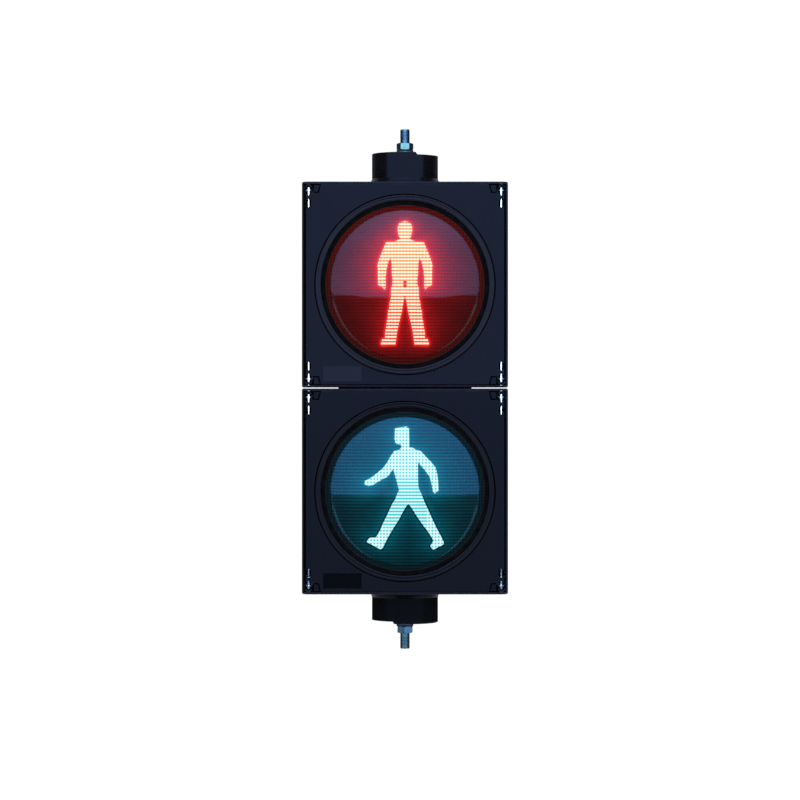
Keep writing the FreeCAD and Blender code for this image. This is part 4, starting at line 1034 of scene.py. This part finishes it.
# ------------------------------------------------------------------
# coil springs, one per pin
# ------------------------------------------------------------------
COIL_R = 0.00355
COIL_WIRE_R = 0.0005
COIL_TURNS = 5.5
COIL_POINTS = 150
COIL_FLAT = 0.08            # share of the path at each end that doesn't climb
COIL_CLEARANCE = COIL_WIRE_R * 1.05
RING_FROM_TIP = 0.0349      # retaining ring, from the pin's tip
BEARING_FROM_TIP = 0.0442   # inner bearing, from the pin's tip


def coil_spring(section, corner):
    pin = "%s_pin_%s" % (section, corner)
    lo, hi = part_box(pin)
    x, y = (lo.x + hi.x) / 2, (lo.y + hi.y) / 2
    # tips point away from the section, up at the top and down at the bottom
    tip, inward = (hi.z, -1.0) if corner[0] == "t" else (lo.z, 1.0)
    ring_z = tip + inward * RING_FROM_TIP
    bearing_z = tip + inward * BEARING_FROM_TIP
    start = ring_z + inward * COIL_CLEARANCE
    climb = bearing_z - ring_z - inward * 2 * COIL_CLEARANCE
    path = []
    for i in range(COIL_POINTS + 1):
        share = i / COIL_POINTS
        climbed = min(max((share - COIL_FLAT) / (1 - 2 * COIL_FLAT), 0.0), 1.0)
        turn = 2 * math.pi * COIL_TURNS * share
        path.append((x + COIL_R * math.cos(turn), y + COIL_R * math.sin(turn),
                     start + climb * climbed))
    verts, faces = tube_mesh(path, COIL_WIRE_R, sides=8)
    coil = make_object("%s_coil_%s" % (section, corner), verts, faces, MAT["spring"])
    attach(coil, section + "_leaf")
    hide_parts(section + "_pin_springs")
    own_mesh(coil)


for section in SECTIONS:
    for corner in ("tl", "bl", "tr", "br"):
        coil_spring(section, corner)


# ------------------------------------------------------------------
# cables; their points are in mm
# ------------------------------------------------------------------
CABLE_BEND = 0.010      # bend radius
BEND_STEPS = 8
RUN_STEP = 0.006        # spacing of points along straight runs, so that they can bend


def from_mm(x, y, z, centre_z=0.0):
    return (x / 1000.0, y / 1000.0, centre_z + z / 1000.0)


def straight(start, end):
    """Points from after the start up to the end."""
    steps = max(int((end - start).length / RUN_STEP), 1)
    return [start + (end - start) * (j / steps) for j in range(1, steps + 1)]


def rounded(points):
    """Straight runs joined by round bends."""
    points = [Vector(p) for p in points]
    path = [points[0]]
    for before, corner, after in zip(points, points[1:], points[2:]):
        dir_in, dir_out = (corner - before).normalized(), (after - corner).normalized()
        angle = dir_in.angle(dir_out)
        if angle < 0.002:
            continue
        # the bend takes less than half of either run
        tangent = min(CABLE_BEND * math.tan(angle / 2), 0.46 * (corner - before).length,
                      0.46 * (after - corner).length)
        radius = tangent / math.tan(angle / 2)
        centre = corner + (dir_out - dir_in).normalized() * (radius / math.cos(angle / 2))
        bend_start = corner - dir_in * tangent
        axis = dir_in.cross(dir_out).normalized()
        path += straight(path[-1], bend_start)[:-1]
        spoke = bend_start - centre
        for j in range(BEND_STEPS + 1):
            turn = angle * j / BEND_STEPS
            path.append(centre + spoke * math.cos(turn) + axis.cross(spoke) * math.sin(turn))
    return path + straight(path[-1], points[-1])


blocks_lo, blocks_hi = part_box("terminal_blocks")
SECTION_RISE = LENS_Z["upper"] - LENS_Z["lower"]
LOWER_BLOCK_Z = blocks_lo.z + (blocks_hi.z - blocks_lo.z - SECTION_RISE) / 2
UPPER_BLOCK_Z = LOWER_BLOCK_Z + SECTION_RISE
BLOCK_FROM_LENS = (LOWER_BLOCK_Z - LENS_Z["lower"]) * 1000.0    # block centre over lens centre
BLOCK_X = (blocks_lo.x + blocks_hi.x) / 2 * 1000.0
WIRE_Y = blocks_hi.y * 1000.0 - 10.0                            # where wires enter the blocks

# x from the block's centre, (x, y) spread within the bundle, colour
LOOM_WIRES = (
    (-14.1, (-2.4, 0.9), (0.20, 0.012, 0.010)),
    (-4.7, (-0.8, -0.9), (0.012, 0.09, 0.030)),
    (4.7, (0.8, 0.9), (0.055, 0.022, 0.010)),
    (14.1, (2.4, -0.9), (0.010, 0.040, 0.20)),
)
LOOM_WIRE_R = 0.0012
BLOCK_ENTRY = 8.0       # from a block's centre to where its wires enter
JOINT_X, JOINT_Y = -20.8, 12.0      # middle of the bundle where it passes the joint


def loom_wire(i, offset, spread, color):
    """A wire between the terminal blocks, through the joint."""
    x = BLOCK_X + offset
    spread_x, spread_y = spread
    start_z = LOWER_BLOCK_Z * 1000.0 + BLOCK_ENTRY
    end_z = UPPER_BLOCK_Z * 1000.0 - BLOCK_ENTRY
    side = (BLOCK_X + 40.0 + spread_x * 2.0, WIRE_Y + 1.6 + spread_y * 1.4)
    joint = (JOINT_X + spread_x * 1.8, JOINT_Y + spread_y * 1.6)
    side_z, joint_z = LENS_Z["lower"] * 1000.0, UPPER_HOUSING_Z * 1000.0
    points = [
        (x, WIRE_Y, start_z), (x, WIRE_Y, start_z + 10),
        (*side, side_z + 10), (*side, side_z + 30),
        (*joint, joint_z - 20), (*joint, joint_z + 16),
        (x, WIRE_Y - 1 - 1.2 * i, end_z - 18), (x, WIRE_Y, end_z - 8), (x, WIRE_Y, end_z)]
    verts, faces = tube_mesh(rounded([from_mm(*p) for p in points]), LOOM_WIRE_R, sides=10)
    worn = [min(c * 1.5 + 0.02, 1.0) for c in color]
    material = plastic("wire_sheath_%d" % i, color, rough=0.42, grain=1.0, edge_wear_and_highlight=worn,
                       edge_wear_and_highlight_amount=0.2)
    wire = make_object("loom_wire_%d" % i, verts, faces, material)
    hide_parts("wiring_loom")
    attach(wire, "head")


for i, (offset, spread, color) in enumerate(LOOM_WIRES):
    loom_wire(i, offset, spread, color)

# (x, y, z) from the lens centre
LEAD_START = [(-54.0, -24.0, 0.0), (-54.0, -10.0, 0.0), (-68.0, 1.0, -3.0)]
LEAD_X = BLOCK_X - 4.7
LEAD_R = 0.0026
# middle: points past the start; entry: z of the last two points from the block's centre
# head_end: a point along the lead's middle run
LEADS = {
    "lower": dict(middle=[(-88.0, 10.0, -18.0), (-91.0, 24.0, -52.0), (-84.0, 42.0, -78.0)],
                  entry=(-28.0, -13.0), head_end=(-88.0, 33.0, -66.0)),
    "upper": dict(middle=[(-89.0, 9.0, -9.0), (-89.0, 28.0, -14.0)],
                  entry=(26.0, 13.0), head_end=(-84.0, 31.0, -17.0)),
}


def door_lead(section):
    """The cable from a door to its terminal block."""
    lead, centre_z = LEADS[section], LENS_Z[section]
    points = LEAD_START + lead["middle"]
    points += [(LEAD_X, WIRE_Y, BLOCK_FROM_LENS + z) for z in lead["entry"]]
    path = rounded([from_mm(*p, centre_z) for p in points])
    verts, faces = tube_mesh(path, LEAD_R, sides=14)
    cable = make_object(section + "_door_lead", verts, faces, MAT["sheath"])
    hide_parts(section + "_door_cable")
    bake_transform(cable)


for section in SECTIONS:
    door_lead(section)


# ------------------------------------------------------------------
# floor: a white disc that only the camera sees
# ------------------------------------------------------------------
FLOOR_DROP = 0.55       # below the lowest part
FLOOR_R = 14.0
FLOOR_STEPS = 64


def floor_material():
    m = new_material("floor_paint")
    patches = m.noise(m.coords(), scale=2.0, detail=2.0)
    paint = m.mix(patches, (1.0, 1.0, 1.0), (1.04, 1.04, 1.04))
    return m.finish(m.add("ShaderNodeEmission", {"Color": paint, "Strength": 1.02}))


def studio_floor():
    turns = [2 * math.pi * i / FLOOR_STEPS for i in range(FLOOR_STEPS)]
    verts = [(FLOOR_R * math.cos(t), FLOOR_R * math.sin(t), cad_lo.z - FLOOR_DROP) for t in turns]
    floor = make_object("studio_floor", verts, [tuple(range(FLOOR_STEPS))], floor_material(),
                        smooth=False)
    floor.visible_glossy = False
    floor.visible_diffuse = False
    floor.visible_shadow = False


studio_floor()


# ------------------------------------------------------------------
# world: what reflections see; the camera sees plain white
# ------------------------------------------------------------------
def studio_world():
    dark, sky_color = (0.010, 0.010, 0.011), (0.235, 0.345, 0.72)
    back_color, floor_color = (0.30, 0.34, 0.42), (0.40, 0.44, 0.52)
    diffuse_color, camera_color = (0.75, 0.78, 0.85), (1.03, 1.03, 1.03)
    horizon_rise = -0.018       # per squared radian away from the front

    world = bpy.data.worlds.new("studio")
    bpy.context.scene.world = world
    w = Graph(world, "ShaderNodeOutputWorld")
    direction = w.split(w.add("ShaderNodeTexCoord").outputs["Generated"])
    z = direction["Z"]
    # angle from the front (-Y), the same on both sides
    azimuth = w.size(w.math("ARCTAN2", direction["X"], w.times(direction["Y"], -1.0)))
    # the horizon rises a little towards both sides
    rise = w.times(w.times(azimuth, azimuth), horizon_rise)
    horizon = (math.sin(math.radians(-4.9)), math.sin(math.radians(-4.1)))
    sky = w.ramp(w.plus(z, rise), over=horizon)
    front = w.ramp(azimuth, over=(math.radians(67.5), math.radians(65.0)))
    back = w.times(w.ramp(azimuth, over=(math.radians(112), math.radians(140))),
                   w.ramp(z, over=(-0.02, 0.35)))
    color = w.mix(w.times(sky, front), dark, sky_color)
    color = w.mix(back, color, back_color)
    # pale floor beside and behind
    floor = w.times(w.ramp(azimuth, over=(0.66, 0.76)), w.ramp(z, over=(-0.12, -0.26)))
    color = w.mix(floor, color, floor_color)
    ray = w.add("ShaderNodeLightPath").outputs
    color = w.mix(ray["Is Diffuse Ray"], color, diffuse_color)
    color = w.mix(ray["Is Camera Ray"], color, camera_color)
    w.finish(w.add("ShaderNodeBackground", {"Color": color, "Strength": 1.0}))


studio_world()


# ------------------------------------------------------------------
# lights, all aimed at the joint
# ------------------------------------------------------------------
def receiver_set(name, *material_keys):
    """A collection of the meshes whose first material is one of those given."""
    materials = [MAT[key] for key in material_keys]
    collection = bpy.data.collections.new(name)
    for obj in bpy.data.objects:
        if obj.type == "MESH" and obj.data.materials and obj.data.materials[0] in materials:
            collection.objects.link(obj)
    return collection


def area_light(name, place, size, power, color=(1, 1, 1), receivers=None):
    """`place` is (x, y, height over the joint). A light with receivers lights only those,
    and shows in their reflections."""
    data = bpy.data.lights.new(name, "AREA")
    data.shape = "RECTANGLE"
    data.size, data.size_y = size
    data.energy = power
    data.color = color
    light = bpy.data.objects.new(name, data)
    bpy.context.scene.collection.objects.link(light)
    location = Vector((place[0], place[1], JOINT_Z + place[2]))
    light.location = location
    aim = Vector((0, 0, JOINT_Z)) - location
    light.rotation_euler = aim.to_track_quat("-Z", "Y").to_euler()
    light.visible_glossy = receivers is not None
    light.visible_camera = False
    if receivers is not None:
        light.light_linking.receiver_collection = receivers


bright_metal = receiver_set("bright_metal", "pin", "spring")
plated_metal = receiver_set("plated_metal", "zinc")
rod_metal = receiver_set("rod_metal", "zinc_rod")
body_edges = receiver_set("body_edges", "door_upper", "door_lower", "shell")

area_light("key_soft", (-1.2, -2.2, 1.8), size=(1.8, 1.8), power=22)
area_light("fill_soft", (1.8, -1.6, 0.4), size=(1.6, 1.6), power=8)
area_light("back_soft", (0.6, 2.4, 1.2), size=(2.0, 1.6), power=30)
area_light("side_soft_l", (-3.0, 0.3, 0.5), size=(1.6, 2.0), power=18)
area_light("side_soft_r", (3.0, 0.3, 0.5), size=(1.6, 2.0), power=18)

# metal catches soft strips from the front that the mouldings don't see
STRIP_PLACE = (0.0, -3.4, 0.7)
area_light("metal_strip", STRIP_PLACE, size=(2.2, 1.8), power=60, color=(0.93, 1.0, 1.0),
           receivers=bright_metal)
# the doors and the shell catch pale walls at both sides
for name, x, power in (("wall_l", -3.09, 4), ("wall_r", 3.09, 14)):
    area_light(name, (x, 0.83, 0.0), size=(4.4, 3.0), power=power, color=(0.33, 0.48, 1.0),
               receivers=body_edges)
area_light("plated_strip", STRIP_PLACE, size=(2.2, 1.8), power=8, color=(0.80, 1.0, 0.62),
           receivers=plated_metal)
area_light("rod_strip", STRIP_PLACE, size=(2.2, 3.4), power=40, color=(0.36, 0.60, 1.0),
           receivers=rod_metal)


# ------------------------------------------------------------------
# camera: level, straight in front of the joint
# ------------------------------------------------------------------
CAMERA_DISTANCE = 3.65      # from the upper door's face
HALF_VIEW = 0.4839          # half the width seen at that distance
SENSOR_WIDTH = 36.0         # mm

lens_data = bpy.data.cameras.new("camera")
camera = bpy.data.objects.new("camera", lens_data)
bpy.context.scene.collection.objects.link(camera)
camera.location = (0.0, FACE_Y - CAMERA_DISTANCE, JOINT_Z)
camera.rotation_euler = (math.radians(90), 0, 0)
lens_data.sensor_width = SENSOR_WIDTH
lens_data.sensor_fit = "HORIZONTAL"
lens_data.lens = SENSOR_WIDTH / (2 * (HALF_VIEW / CAMERA_DISTANCE))
lens_data.shift_x = -0.0062
lens_data.shift_y = -0.015
lens_data.clip_start = 0.05
lens_data.clip_end = 60
bpy.context.scene.camera = camera
bpy.context.scene.view_settings.view_transform = "Standard"
bpy.context.scene.view_settings.look = "None"
